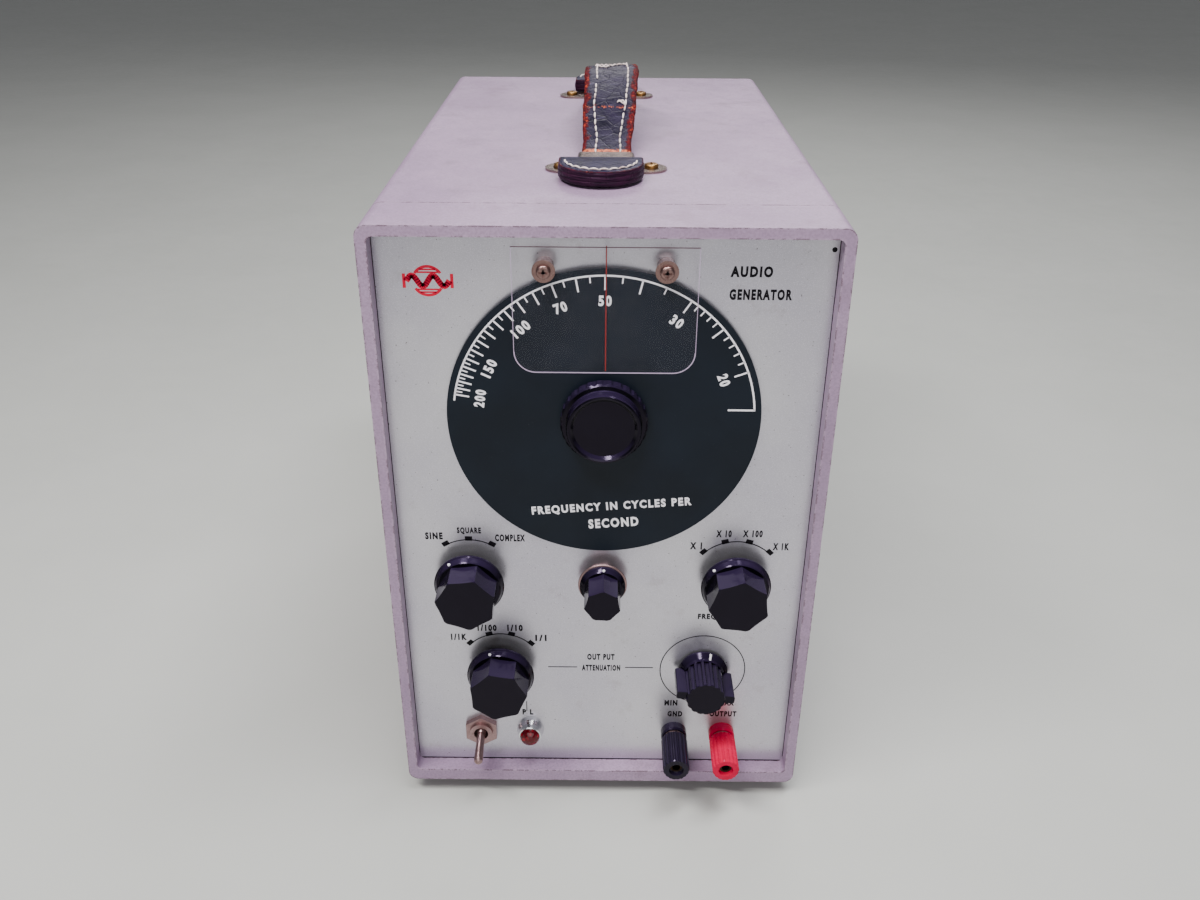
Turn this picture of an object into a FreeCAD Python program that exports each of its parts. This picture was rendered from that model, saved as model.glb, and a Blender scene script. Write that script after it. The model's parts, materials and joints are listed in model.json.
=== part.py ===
"""Bench audio generator: a tall steel cabinet with a large tuning dial, switches, output posts
and a leather carrying handle, built as separate pieces.

Frame: +Z up, the front panel faces -Y, the origin is under the middle of the object on the
surface that it stands on. Millimetres.
"""
import FreeCAD, Part
import math
import os
import re
import Sketcher

Vector = FreeCAD.Vector
doc = FreeCAD.newDocument("audio_generator")
sheet = doc.addObject("Spreadsheet::Sheet", "Sizes")

# ---------------------------------------------------------------- driving dimensions

SIZES = {
    # cabinet
    "case_width": 200, "case_height": 296, "case_depth": 342, "corner_radius": 5,
    "shell_wall": 1.2, "front_y": -168.4, "foot_height": 9, "cover_gap": 0.2,
    "frame_depth": 33, "frame_side": 4.7, "frame_bottom": 6.7, "frame_wall": 1.6,
    "panel_recess": 8.5, "panel_thickness": 2, "slide_gap": 0.2,
    # chassis
    "deck_height": 62, "chassis_wall": 1.5, "chassis_half_width": 95, "deck_front": 62,
    "apron_foot": 3,
    # dial and its drive
    "dial_height": 208.4, "dial_radius": 68.6, "dial_thickness": 1.5, "dial_gap": 1.2,
    "drive_radius": 75, "drive_thickness": 1.5, "drive_depth": 26, "roller_gap": 0.06,
    "shaft_radius": 3, "running_gap": 0.05, "bush_radius": 4.7, "bush_flange": 6.5,
    # knobs
    "row_height": 122.3, "lower_row_height": 68, "switch_offset": 62.8,
    "attenuator_offset": -50, "level_offset": 50.3, "level_height": 67.3,
    "knob_gap": 6, "knob_length": 17, "knob_skirt": 16.5, "knob_body": 14.2,
    "knob_root": 4.2, "small_skirt": 10.8, "small_body": 8.6, "small_root": 3,
    # cursor
    "cursor_width": 76.4, "cursor_length": 55.2, "cursor_corner": 9.5, "cursor_thickness": 1.9,
    "cursor_screw_spacing": 50, "cursor_screw_above": 68.8, "cursor_screw_hole": 1.6,
    # lower row
    "base_row_height": 27.6, "toggle_offset": -61.8, "lamp_offset": -36.6,
    "ground_offset": 37.4, "output_offset": 62, "post_height": 26.3, "post_radius": 6.6,
    "post_flute_radius": 0.95, "post_base_length": 5, "post_cap_length": 22.5, "socket_radius": 2, "stud_radius": 3,
    # handle
    "handle_front": 92, "handle_rear": 275, "bracket_length": 57, "bracket_depth": 17,
    "bracket_wall": 1, "bridge_width": 27, "bridge_height": 6.1, "strap_thickness": 3.6,
    "strap_end_width": 22.5, "strap_grip_width": 28, "strap_rise": 27.2, "tab_radius": 19.5,
    "tab_straight": 9.5, "front_tab_shift": -2.3,
    "tab_thickness": 7, "handle_screw_spacing": 42.4,
    # rear
    "rear_fitting_height": 30, "rear_fitting_offset": 62, "grommet_bore": 4,
    "fuse_length": 13.8,
}

for row, (alias, value) in enumerate(SIZES.items(), start=1):
    sheet.set(f"A{row}", alias)
    sheet.set(f"B{row}", str(value))
    sheet.setAlias(f"B{row}", alias)
doc.recompute()

ALONG_X = FreeCAD.Rotation(Vector(0, 1, 0), 90)
ALONG_Z = FreeCAD.Rotation()
FACING_FRONT = FreeCAD.Rotation(Vector(1, 0, 0), 90)
FACING_REAR = FreeCAD.Rotation(Vector(1, 0, 0), -90)
PROBE_SHIFT = 400


def size(text):
    """Value in millimetres of an expression in the sheet's names, worked out by the document."""
    probe.setExpression("Length", linked(f"({text}) + {PROBE_SHIFT}"))
    probe.recompute()
    return probe.Length.Value - PROBE_SHIFT


def linked(text):
    """The expression with each name of a size pointing at its cell."""
    return re.sub(r"[a-z_]{4,}", lambda found: point_at_cell(found.group(0)), str(text))


def point_at_cell(word):
    return f"Sizes.{word}" if word in SIZES else word


probe = doc.addObject("Part::Box", "probe")


def bind(piece, **sizes):
    """Bind properties of a piece to expressions in the sheet's names."""
    for name, text in sizes.items():
        piece.setExpression(name.replace("__", "."), linked(text))


def put(piece, x=0, y=0, z=0, turn=ALONG_Z):
    """Place a piece: a turn, and a position bound to the sheet."""
    piece.Placement = FreeCAD.Placement(Vector(), turn)
    bind(piece, Placement__Base__x=x, Placement__Base__y=y, Placement__Base__z=z)
    return piece


def label(piece, name):
    piece.Label = name
    return piece


# ---------------------------------------------------------------- solids

def box(x, y, z, length, width, height):
    """A box from its lowest corner."""
    piece = doc.addObject("Part::Box", "box")
    bind(piece, Length=length, Width=width, Height=height)
    return put(piece, x, y, z)


def slab(x_half, y_low, y_high, z_low, z_high):
    """A box centred on X, between two depths and two heights."""
    return box(f"-({x_half})", y_low, z_low, f"2 * ({x_half})", f"({y_high}) - ({y_low})",
               f"({z_high}) - ({z_low})")


def cylinder(radius, height, x=0, y=0, z=0, turn=ALONG_Z):
    piece = doc.addObject("Part::Cylinder", "cylinder")
    bind(piece, Radius=radius, Height=height)
    return put(piece, x, y, z, turn)


def cone(radius_low, radius_high, height, x=0, y=0, z=0, turn=ALONG_Z):
    piece = doc.addObject("Part::Cone", "cone")
    bind(piece, Radius1=radius_low, Radius2=radius_high, Height=height)
    return put(piece, x, y, z, turn)


def hexagon(across_flats, height, x=0, y=0, z=0, turn=ALONG_Z):
    piece = doc.addObject("Part::Prism", "hexagon")
    piece.Polygon = 6
    bind(piece, Circumradius=f"({across_flats}) / 2 / cos(30)", Height=height)
    return put(piece, x, y, z, turn)


def fuse(*pieces):
    joined = doc.addObject("Part::MultiFuse", "fuse")
    joined.Shapes = list(pieces)
    return joined


def cut(base, *tools):
    result = doc.addObject("Part::Cut", "cut")
    result.Base = base
    result.Tool = tools[0] if len(tools) == 1 else fuse(*tools)
    return result


def group(name, pieces):
    """Separate solids that share one node."""
    together = doc.addObject("Part::Compound", "group")
    together.Links = list(pieces)
    return label(together, name)


def rounded(base, axis, radius, keep=lambda edge: True):
    """The piece with its straight edges along an axis rounded."""
    doc.recompute()
    direction = Vector(*axis)
    numbers = []
    for number, edge in enumerate(base.Shape.Edges, start=1):
        straight = isinstance(edge.Curve, Part.Line)
        if straight and abs(abs(edge.Curve.Direction.dot(direction)) - 1) < 1e-6 and keep(edge):
            numbers.append((number, size(radius), size(radius)))
    result = doc.addObject("Part::Fillet", "rounded")
    result.Base = base
    result.Edges = numbers
    return result


# ---------------------------------------------------------------- sketched solids

def origin_part(body, role):
    return next(part for part in body.Origin.OriginFeatures if part.Role == role)


def new_sketch(body, name, plane, offset=None):
    sketch = body.newObject("Sketcher::SketchObject", name)
    sketch.AttachmentSupport = [(origin_part(body, plane), "")]
    sketch.MapMode = "FlatFace"
    if offset is not None:
        sketch.setExpression("AttachmentOffset.Base.z", linked(offset))
    return sketch


def pin_point(sketch, line, end, across, up):
    """Fix a point of the sketch at distances from its origin that the sheet gives."""
    for axis_line, kind, text in ((-2, "DistanceX", across), (-1, "DistanceY", up)):
        value = size(text)
        if abs(value) < 1e-9:
            sketch.addConstraint(Sketcher.Constraint("PointOnObject", line, end, axis_line))
            continue
        number = sketch.addConstraint(Sketcher.Constraint(kind, -1, 1, line, end, value))
        sketch.setExpression(f"Constraints[{number}]", linked(text))


def draw_outline(sketch, points):
    """A closed outline of straight lines through points given as texts."""
    values = [Vector(size(across), size(up), 0) for across, up in points]
    count = len(points)
    for number in range(count):
        sketch.addGeometry(Part.LineSegment(values[number], values[(number + 1) % count]))
    for number in range(count):
        sketch.addConstraint(Sketcher.Constraint("Coincident", number, 2, (number + 1) % count, 1))
    for number, (across, up) in enumerate(points):
        pin_point(sketch, number, 1, across, up)


def turned(name, points):
    """A body turned about its own Z axis from (radius, height) points."""
    body = doc.addObject("PartDesign::Body", name)
    sketch = new_sketch(body, f"{name}_profile", "XZ_Plane")
    draw_outline(sketch, points)
    turning = body.newObject("PartDesign::Revolution", f"{name}_turning")
    turning.Profile = sketch
    turning.ReferenceAxis = (sketch, ["V_Axis"])
    turning.Angle = 360
    doc.recompute()
    return body


def flute_round(body, name, centre, radius, start, length, count):
    """Cut grooves along Z around a turned body, each a part of a circle's outline."""
    volume = body.Shape.Volume
    sketch = new_sketch(body, f"{name}_flute", "XY_Plane", start)
    circle = sketch.addGeometry(Part.Circle(Vector(0, size(centre), 0), Vector(0, 0, 1), size(radius)))
    sketch.addConstraint(Sketcher.Constraint("PointOnObject", circle, 3, -2))
    for kind, text in (("DistanceY", centre), ("Radius", radius)):
        ends = (-1, 1, circle, 3) if kind == "DistanceY" else (circle,)
        number = sketch.addConstraint(Sketcher.Constraint(kind, *ends, size(text)))
        sketch.setExpression(f"Constraints[{number}]", linked(text))
    flute = body.newObject("PartDesign::Pocket", f"{name}_groove")
    flute.Profile = sketch
    flute.Reversed = True
    flute.setExpression("Length", linked(length))
    doc.recompute()
    around = body.newObject("PartDesign::PolarPattern", f"{name}_grooves")
    around.Originals = [flute]
    around.Axis = (origin_part(body, "Z_Axis"), [""])
    around.Angle = 360
    around.Occurrences = count
    body.Tip = around
    doc.recompute()
    check_removed(body, volume)
    return body


def check_removed(body, volume):
    if body.Shape.Volume > volume - 0.1:
        raise RuntimeError(f"{body.Label}: a cut removed nothing")


def plate(name, plane, width, height, radius, thickness, offset="0"):
    """A body: a plate with rounded corners, centred on its sketch plane's origin."""
    body = doc.addObject("PartDesign::Body", name)
    sketch = new_sketch(body, f"{name}_outline", plane, offset)
    draw_rounded_rectangle(sketch, width, height, radius)
    pad = body.newObject("PartDesign::Pad", f"{name}_pad")
    pad.Profile = sketch
    pad.setExpression("Length", linked(thickness))
    doc.recompute()
    return body


def pocket_plate(body, plane, width, height, radius, depth, offset="0", shift="0"):
    """Cut a rounded rectangle out of a plate, upward from the offset."""
    volume = body.Shape.Volume
    sketch = new_sketch(body, f"{body.Name}_opening", plane, offset)
    draw_rounded_rectangle(sketch, width, height, radius, shift)
    pocket = body.newObject("PartDesign::Pocket", f"{body.Name}_pocket")
    pocket.Profile = sketch
    pocket.Reversed = True
    pocket.setExpression("Length", linked(depth))
    doc.recompute()
    check_removed(body, volume)
    return body


def draw_rounded_rectangle(sketch, width, height, radius, shift="0"):
    """Four lines and four tangent arcs; shift moves the middle up."""
    half_x, corner = size(width) / 2, size(radius)
    top, bottom = size(shift) + size(height) / 2, size(shift) - size(height) / 2
    ends = [((corner - half_x, bottom), (half_x - corner, bottom)),
            ((half_x, bottom + corner), (half_x, top - corner)),
            ((half_x - corner, top), (corner - half_x, top)),
            ((-half_x, top - corner), (-half_x, bottom + corner))]
    centres = [(half_x - corner, bottom + corner), (half_x - corner, top - corner),
               (corner - half_x, top - corner), (corner - half_x, bottom + corner)]
    for start, stop in ends:
        sketch.addGeometry(Part.LineSegment(Vector(*start, 0), Vector(*stop, 0)))
    for number, centre in enumerate(centres):
        circle = Part.Circle(Vector(*centre, 0), Vector(0, 0, 1), corner)
        first = (number - 1) * math.pi / 2
        sketch.addGeometry(Part.ArcOfCircle(circle, first, first + math.pi / 2))
    for number in range(4):
        sketch.addConstraint(Sketcher.Constraint("Tangent", number, 2, 4 + number, 1))
        sketch.addConstraint(Sketcher.Constraint("Tangent", 4 + number, 2, (number + 1) % 4, 1))
    for number in range(5, 8):
        sketch.addConstraint(Sketcher.Constraint("Equal", 4, number))
    for number in (0, 2):
        sketch.addConstraint(Sketcher.Constraint("Horizontal", number))
    for number in (1, 3):
        sketch.addConstraint(Sketcher.Constraint("Vertical", number))
    rules = [("DistanceX", 1, half_x, f"({width}) / 2"), ("DistanceX", 3, -half_x, f"-({width}) / 2"),
             ("DistanceY", 2, top, f"({shift}) + ({height}) / 2"),
             ("DistanceY", 0, bottom, f"({shift}) - ({height}) / 2")]
    for kind, line, value, text in rules:
        number = sketch.addConstraint(Sketcher.Constraint(kind, -1, 1, line, 1, value))
        sketch.setExpression(f"Constraints[{number}]", linked(text))
    number = sketch.addConstraint(Sketcher.Constraint("Radius", 4, corner))
    sketch.setExpression(f"Constraints[{number}]", linked(radius))


# ---------------------------------------------------------------- places

PANEL_Y = "front_y + panel_recess"
CASE_MIDDLE = "foot_height + case_height / 2"
CASE_TOP = "foot_height + case_height"
CASE_BACK = "front_y + case_depth"


def depth(text):
    """A depth behind the front face of the case."""
    return f"front_y + ({text})"


def height(text):
    """A height above the underside of the case."""
    return f"foot_height + ({text})"


def on_panel(piece, x, above, out="0", turn=0):
    """Stand a piece on the panel's front face: its own Z points out at the user."""
    spin = FreeCAD.Rotation(Vector(0, 0, 1), turn)
    return put(piece, x, f"{PANEL_Y} - ({out})", height(above), FACING_FRONT.multiply(spin))


# ---------------------------------------------------------------- cabinet

def front_frame():
    """A deep rim around the panel. Its lip stands in front of the panel on all sides."""
    body = plate("front_frame", "XZ_Plane", "case_width", "case_height", "corner_radius", "frame_depth")
    pocket_plate(body, "XZ_Plane", "case_width - 2 * frame_side",
                 "case_height - frame_side - frame_bottom", "corner_radius - 2.5", "frame_depth",
                 shift="(frame_bottom - frame_side) / 2")
    pocket_plate(body, "XZ_Plane", "case_width - 2 * frame_wall", "case_height - 2 * frame_wall",
                 "corner_radius - frame_wall", "frame_depth - panel_recess")
    return put(body, 0, depth("frame_depth"), CASE_MIDDLE)


def cabinet_shell():
    """The sleeve behind the front frame, open at both ends."""
    length = "case_depth - frame_depth - cover_gap"
    body = plate("cabinet_shell", "XZ_Plane", "case_width", "case_height", "corner_radius", length)
    pocket_plate(body, "XZ_Plane", "case_width - 2 * shell_wall", "case_height - 2 * shell_wall",
                 "corner_radius - shell_wall", length)
    return put(body, 0, CASE_BACK, CASE_MIDDLE)


def front_panel():
    """The plate that carries the controls, with a hole for each of them."""
    body = plate("panel_blank", "XZ_Plane", "case_width - 2 * frame_wall - 2 * slide_gap",
                 "case_height - 2 * frame_wall - 2 * slide_gap", "corner_radius - frame_wall",
                 "panel_thickness")
    put(body, 0, f"{PANEL_Y} + panel_thickness", CASE_MIDDLE)
    holes = []
    bushes = [("0", "dial_height"), ("0", "row_height"), ("-switch_offset", "row_height"),
              ("switch_offset", "row_height"), ("attenuator_offset", "lower_row_height"),
              ("level_offset", "level_height")]
    for x, above in bushes:
        holes.append(cylinder("bush_radius + running_gap", "6", x, PANEL_Y + " - 2", height(above),
                              FACING_REAR))
    for x, above, radius in (("toggle_offset", "base_row_height", "6 + running_gap"),
                             ("lamp_offset", "base_row_height", "4.9"),
                             ("ground_offset", "post_height", "stud_radius + 0.1"),
                             ("output_offset", "post_height", "stud_radius + 0.1")):
        holes.append(cylinder(radius, "6", x, PANEL_Y + " - 2", height(above), FACING_REAR))
    for side in CURSOR_SCREW_SIDES:
        holes.append(cylinder("1.6", "6", side, PANEL_Y + " - 2", height(CURSOR_SCREW_RISE), FACING_REAR))
    return label(cut(body, *holes), "front_panel")


def rear_cover():
    """The vented plate over the back, above the chassis apron."""
    low, high = height("deck_height + 1"), height("case_height - shell_wall - slide_gap")
    blank = slab("case_width / 2 - shell_wall - slide_gap", CASE_BACK + " - shell_wall", CASE_BACK, low, high)
    blank = rounded(blank, (0, 1, 0), "4.5")
    vents = []
    for level in range(9):
        for side in (-44, 44):
            vents.append(box(side - 34, CASE_BACK + " - 5", height(f"96 + {level * 16}"), 68, 10, 4))
    holes = [cylinder("1.7", "8", x, CASE_BACK + " - 5", z, FACING_REAR) for x, z in cover_screw_places()]
    return label(cut(blank, *vents, *holes), "rear_cover")


def cover_screw_places():
    levels = ("foot_height + 74", "foot_height + 179", "foot_height + 284")
    return [(side * 91, level) for side in (-1, 1) for level in levels]


def pan_screw(x, y, z, turn, head_radius, shank_radius, shank, head=1.9):
    """A pan-head screw whose head stands on the plane at its place, with a cross recess."""
    top = cylinder(head_radius, head)
    stem = cylinder(shank_radius, shank, z=f"-({shank})")
    long_slot = box(f"-({head_radius}) * 0.62", "-0.42", f"{head} - 1.1", f"2 * ({head_radius}) * 0.62",
                    "0.84", "2")
    cross_slot = box("-0.42", f"-({head_radius}) * 0.62", f"{head} - 1.1", "0.84",
                     f"2 * ({head_radius}) * 0.62", "2")
    crown = doc.addObject("Part::Fillet", "crown")
    doc.recompute()
    crown.Base = top
    crown.Edges = [(number, 0.55 * head, 0.55 * head) for number, edge in enumerate(top.Shape.Edges, start=1)
                   if edge.Closed and edge.BoundBox.ZMin > head / 2]
    return put(cut(fuse(crown, stem), long_slot, cross_slot), x, y, z, turn)


def rear_cover_screws():
    screws = [pan_screw(x, CASE_BACK, z, FACING_REAR, "2.9", "1.5", "6") for x, z in cover_screw_places()]
    return group("rear_cover_screws", screws)


def foot_places():
    return [(x, y) for x in (-78, 78) for y in ("front_y + 40", "front_y + 306")]


def rubber_feet():
    feet = []
    for x, y in foot_places():
        foot = turned("foot", [("1.8", "0"), ("8", "0"), ("9.5", "foot_height"), ("1.8", "foot_height")])
        recess = cylinder("4.2", "4", z="0")
        feet.append(put(cut(foot, recess), x, y, 0))
    return group("rubber_feet", feet)


def foot_screws():
    screws = []
    for x, y in foot_places():
        head = cylinder("3.4", "2.4", x, y, "1.6")
        stem = cylinder("1.7", "10", x, y, "4")
        screws.append(fuse(head, stem))
    return group("foot_screws", screws)


def bottom_holes():
    return [cylinder("1.8", "6", x, y, "foot_height - 2") for x, y in foot_places()]


# ---------------------------------------------------------------- chassis and what stands on it

def chassis():
    """A folded tray: a deck, two sides that reach the panel, and a rear apron."""
    floor, deck = height("apron_foot"), height("deck_height")
    outer, inner = "chassis_half_width", "chassis_half_width - chassis_wall"
    back = CASE_BACK + " - shell_wall - 0.2"
    front = PANEL_Y + " + panel_thickness + 0.2"
    top = slab(inner, depth("deck_front"), back, deck + " - chassis_wall", deck)
    sides = [box(x, front, floor, "chassis_wall", f"({back}) - ({front})", f"({deck}) - ({floor})")
             for x in (f"-({outer})", inner)]
    apron = slab(inner, back + " - chassis_wall", back, floor, deck)
    fuse_hole = cylinder("7.1", "20", "rear_fitting_offset", back + " - 10", height("rear_fitting_height"),
                         FACING_REAR)
    cord_hole = cylinder("7.1", "20", "-rear_fitting_offset", back + " - 10", height("rear_fitting_height"),
                         FACING_REAR)
    tube_holes = [cylinder("7", "12", x, y, deck + " - 6") for x, y in tube_places()]
    return label(cut(fuse(top, *sides, apron), fuse_hole, cord_hole, *tube_holes), "chassis")


def tuning_bracket():
    """An upright channel that holds the variable capacitor behind the dial."""
    low, high = height("deck_height + 0.1"), height("dial_height - 37")
    legs = [box(x, depth("66"), low, "2", "72", f"({high}) - ({low})") for x in (-36, 34)]
    top = slab("36", depth("66"), depth("138"), high + " - 2", high)
    feet = [box(x, depth("66"), low, "12", "72", "2") for x in (-48, 36)]
    return label(fuse(top, *legs, *feet), "tuning_bracket")


def capacitor_frame():
    """The base and end plates of the three-gang variable capacitor."""
    low = height("dial_height - 36.9")
    base = slab("34", depth("68"), depth("136"), low, low + " + 2")
    ends = [slab("34", depth(start), depth(f"{start} + 2"), low, height("dial_height + 12"))
            for start in (68, 134)]
    bore = cylinder("shaft_radius + running_gap", "90", 0, depth("60"), height("dial_height"), FACING_REAR)
    return label(cut(fuse(base, *ends), bore), "capacitor_frame")


STACK_STARTS = (74, 94, 114)
PLATE_PITCH = 3
STATOR_PLATES = 5


def half_disc(radius, start, thickness, spin):
    """Half a thin disc about the dial's axis, on its left (spin 0) or below it (spin 90)."""
    disc = cylinder(radius, thickness)
    block = box("-0.5", "-40", "-1", "40", "80", "3")
    turn = FACING_REAR.multiply(FreeCAD.Rotation(Vector(0, 0, 1), -spin))
    return put(cut(disc, block), 0, depth(start), height("dial_height"), turn)


def capacitor_stator():
    """Fixed vanes: three stacks of half discs below the shaft."""
    vanes = []
    for stack in STACK_STARTS:
        for number in range(STATOR_PLATES):
            vane = half_disc("29", f"{stack + number * PLATE_PITCH}", "0.6", 90)
            clear = cylinder("5", "3", 0, depth(f"{stack + number * PLATE_PITCH - 1}"),
                             height("dial_height"), FACING_REAR)
            vanes.append(cut(vane, clear))
    return group("capacitor_stator", vanes)


def capacitor_rotor():
    """Moving vanes on their shaft, meshing between the fixed ones."""
    shaft = cylinder("shaft_radius", "86", 0, depth("54"), height("dial_height"), FACING_REAR)
    vanes = []
    for stack in STACK_STARTS:
        for number in range(STATOR_PLATES - 1):
            start = f"{stack + number * PLATE_PITCH + 1.5}"
            vanes.append(half_disc("27", start, "0.6", 0))
    return label(fuse(shaft, *vanes), "capacitor_rotor")


def tube_places():
    return [(-66, depth("110")), (-66, depth("165")), (66, depth("110")), (66, depth("165")),
            (0, depth("185"))]


def tube_sockets():
    sockets = []
    for x, y in tube_places():
        ring = cylinder("11", "4", x, y, height("deck_height + 0.1"))
        skirt = cylinder("6.8", "14", x, y, height("deck_height - 10"))
        well = cylinder("4", "6", x, y, height("deck_height - 0.5"))
        sockets.append(cut(fuse(ring, skirt), well))
    return group("tube_sockets", sockets)


def vacuum_tubes():
    """Miniature valves: a bulb with a domed top and its drawn-off tip."""
    tubes = []
    for x, y in tube_places():
        outline = [("0", "0"), ("9", "0"), ("9.5", "2"), ("9.5", "40"), ("8", "46"), ("4.5", "49"),
                   ("1.6", "50"), ("0.8", "54"), ("0", "54.6")]
        tubes.append(put(turned("tube", outline), x, y, height("deck_height + 4.2")))
    return group("vacuum_tubes", tubes)


def transformer_core():
    """Stacked laminations: an E and an I around the winding."""
    low = height("deck_height + 0.1")
    block = box(20, depth("245"), low, 64, 38, 76)
    windows = [box(start, depth("240"), low + " + 14", 14, 50, 48) for start in (32, 58)]
    return label(cut(block, *windows), "transformer_core")


def transformer_coil():
    """The winding on the middle limb."""
    low = height("deck_height + 14.3")
    outer = box(32.2, depth("233"), low, 39.6, 62, 47.4)
    limb = box(45.8, depth("244.8"), low + " - 1", 12.4, 38.4, 60)
    return label(cut(rounded(outer, (0, 0, 1), "6"), limb), "transformer_coil")


def filter_capacitor():
    can = turned("filter_capacitor", [("0", "0"), ("17.5", "0"), ("17.5", "74"), ("16", "76"),
                                      ("15", "75"), ("0", "75")])
    return put(can, -50, depth("270"), height("deck_height + 0.2"))


def fuse_holder():
    """A round holder in the rear apron with its screw cap outside."""
    back = CASE_BACK + " - shell_wall - 0.2"
    barrel = cylinder("7", "26", "rear_fitting_offset", back + " - 24", height("rear_fitting_height"),
                      FACING_REAR)
    flange = cylinder("9", "2.4", "rear_fitting_offset", back, height("rear_fitting_height"), FACING_REAR)
    cap = cylinder("6.8", "fuse_length + 1.4", "rear_fitting_offset", back, height("rear_fitting_height"),
                   FACING_REAR)
    slot = box("rear_fitting_offset - 5", CASE_BACK + " + fuse_length - 1.5", height("rear_fitting_height - 0.6"),
               10, 4, 1.2)
    return label(cut(fuse(barrel, flange, cap), slot), "fuse_holder")


def cord_grommet():
    """The rubber ring in the rear apron that a mains cord would come out of."""
    grommet = turned("cord_grommet", [("grommet_bore", "0"), ("9.5", "0"), ("9.5", "2.4"), ("7", "2.6"),
                                      ("7", "4.3"), ("9.5", "4.5"), ("8.5", "7.4"), ("grommet_bore", "7.6")])
    return put(grommet, "-rear_fitting_offset", CASE_BACK + " - shell_wall - 0.2 - 4.2",
               height("rear_fitting_height"), FACING_REAR)


# ---------------------------------------------------------------- dial and its drive

def dial_disc():
    body = turned("dial_disc", [("shaft_radius", "0"), ("dial_radius", "0"), ("dial_radius", "dial_thickness"),
                                ("shaft_radius", "dial_thickness")])
    return on_panel(body, 0, "dial_height", "dial_gap")


KNOB_SEAT = "dial_gap + dial_thickness + 0.1"


def tuning_knob():
    """A flat round knob: a fluted skirt, a raised rim and a dished face."""
    body = turned("tuning_knob", [("shaft_radius", "0"), ("18.6", "0"), ("19", "0.5"), ("19", "4.6"),
                                  ("18.2", "5.4"), ("16.6", "5.8"), ("16.3", "6.4"), ("16.3", "10.2"),
                                  ("15.9", "10.9"), ("15.2", "11.1"), ("14.4", "10.8"), ("13.2", "9.6"),
                                  ("0", "9.6"), ("0", "8"), ("shaft_radius", "8")])
    flute_round(body, "tuning_knob", "20.1", "1.6", "-1", "6.7", 28)
    return on_panel(body, 0, "dial_height", KNOB_SEAT)


def tuning_shaft():
    """The shaft from the knob to the hub of the drive disc."""
    start = f"{PANEL_Y} - ({KNOB_SEAT}) - 7.9"
    body = cylinder("shaft_radius", f"{depth('53.8')} - ({start})", 0, start, height("dial_height"), FACING_REAR)
    return label(body, "tuning_shaft")


def drive_disc():
    """The metal disc whose rim the small roller turns; its long hub joins both shafts."""
    at = depth("drive_depth")
    rim = cylinder("drive_radius", "drive_thickness", 0, at, height("dial_height"), FACING_REAR)
    hub = cylinder("8", "37", 0, at, height("dial_height"), FACING_REAR)
    bore = cylinder("shaft_radius", "60", 0, at + " - 5", height("dial_height"), FACING_REAR)
    return label(cut(fuse(rim, hub), bore), "drive_disc")


def shaft_bushes():
    """The two threaded bearings in the panel, for the dial's and the small knob's shafts."""
    bushes = []
    for above, front in (("dial_height", "0.9"), ("row_height", "4.5")):
        stem = cylinder("bush_radius", f"{front} + panel_thickness + 5", 0, f"{PANEL_Y} - {front}",
                        height(above), FACING_REAR)
        flange = cylinder("bush_flange", "1.5", 0, f"{PANEL_Y} + panel_thickness + 0.05", height(above),
                          FACING_REAR)
        bore = cylinder("shaft_radius + running_gap", "20", 0, f"{PANEL_Y} - 8", height(above), FACING_REAR)
        bushes.append(cut(fuse(stem, flange), bore))
    return group("shaft_bushes", bushes)


def vernier_shaft():
    start = PANEL_Y + " - knob_gap - 12"
    body = cylinder("shaft_radius", f"{depth('drive_depth + 4')} - ({start})", 0, start, height("row_height"),
                    FACING_REAR)
    return label(body, "vernier_shaft")


def vernier_roller():
    """The rubber-rimmed roller that drives the disc by friction."""
    radius = "dial_height - row_height - drive_radius - roller_gap"
    ring = cylinder(radius, "4", 0, depth("drive_depth - 1.2"), height("row_height"), FACING_REAR)
    bore = cylinder("shaft_radius", "10", 0, depth("drive_depth - 4"), height("row_height"), FACING_REAR)
    return label(cut(ring, bore), "vernier_roller")


# ---------------------------------------------------------------- knobs, switches

FLUTE_SIDES = 7


def sided_knob(name, skirt, body_radius, root):
    """A seven-sided knob with hollow flanks on a round skirt, its axis along Z."""
    body = turned(name, [("shaft_radius", "0.6"), (f"{body_radius} * 0.8", "0.6"), (f"{body_radius} * 0.8", "0"),
                         (f"{skirt} - 0.3", "0"), (skirt, "0.3"), (skirt, "1.1"), (f"{skirt} - 0.5", "1.6"),
                         (f"{body_radius} + 0.9", f"{root} - 0.5"), (body_radius, f"{root} + 0.6"),
                         (body_radius, "knob_length - 0.5"), (f"{body_radius} - 0.5", "knob_length"),
                         ("0", "knob_length"), ("0", "knob_length - 4"), ("shaft_radius", "knob_length - 4")])
    flank = f"({body_radius} * 0.885)"
    hollow = f"({body_radius} * 5)"
    flute_round(body, name, f"{flank} + {hollow}", hollow, root, "knob_length", FLUTE_SIDES)
    return body


CORNER_TURN = 180.0 / FLUTE_SIDES


def index_turn(left_of_up):
    """Rotation that brings a corner of the knob to an angle left of straight up."""
    return CORNER_TURN + left_of_up


def level_knob():
    """A round scalloped knob with a bar handle across it and a thin skirt."""
    body = turned("level_body", [("shaft_radius", "3.6"), ("8.2", "3.6"), ("8.2", "0"), ("12.2", "0"),
                                 ("12.4", "0.3"), ("12.4", "1"), ("10.4", "3.4"), ("9.6", "5"), ("9.4", "21.2"),
                                 ("9.1", "21.5"), ("0", "21.5"), ("0", "17"), ("shaft_radius", "17")])
    flute_round(body, "level_body", "10.2", "1.45", "4.6", "20", 16)
    bar = rounded(box("-14.2", "-2.1", "2.2", "28.4", "4.2", "17.6"), (0, 0, 1), "1.1")
    core = cylinder("8.9", "20", z="1")
    knob = fuse(body, cut(bar, core))
    return label(on_panel(knob, "level_offset", "level_height", "1", -6.5), "level_knob")


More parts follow.
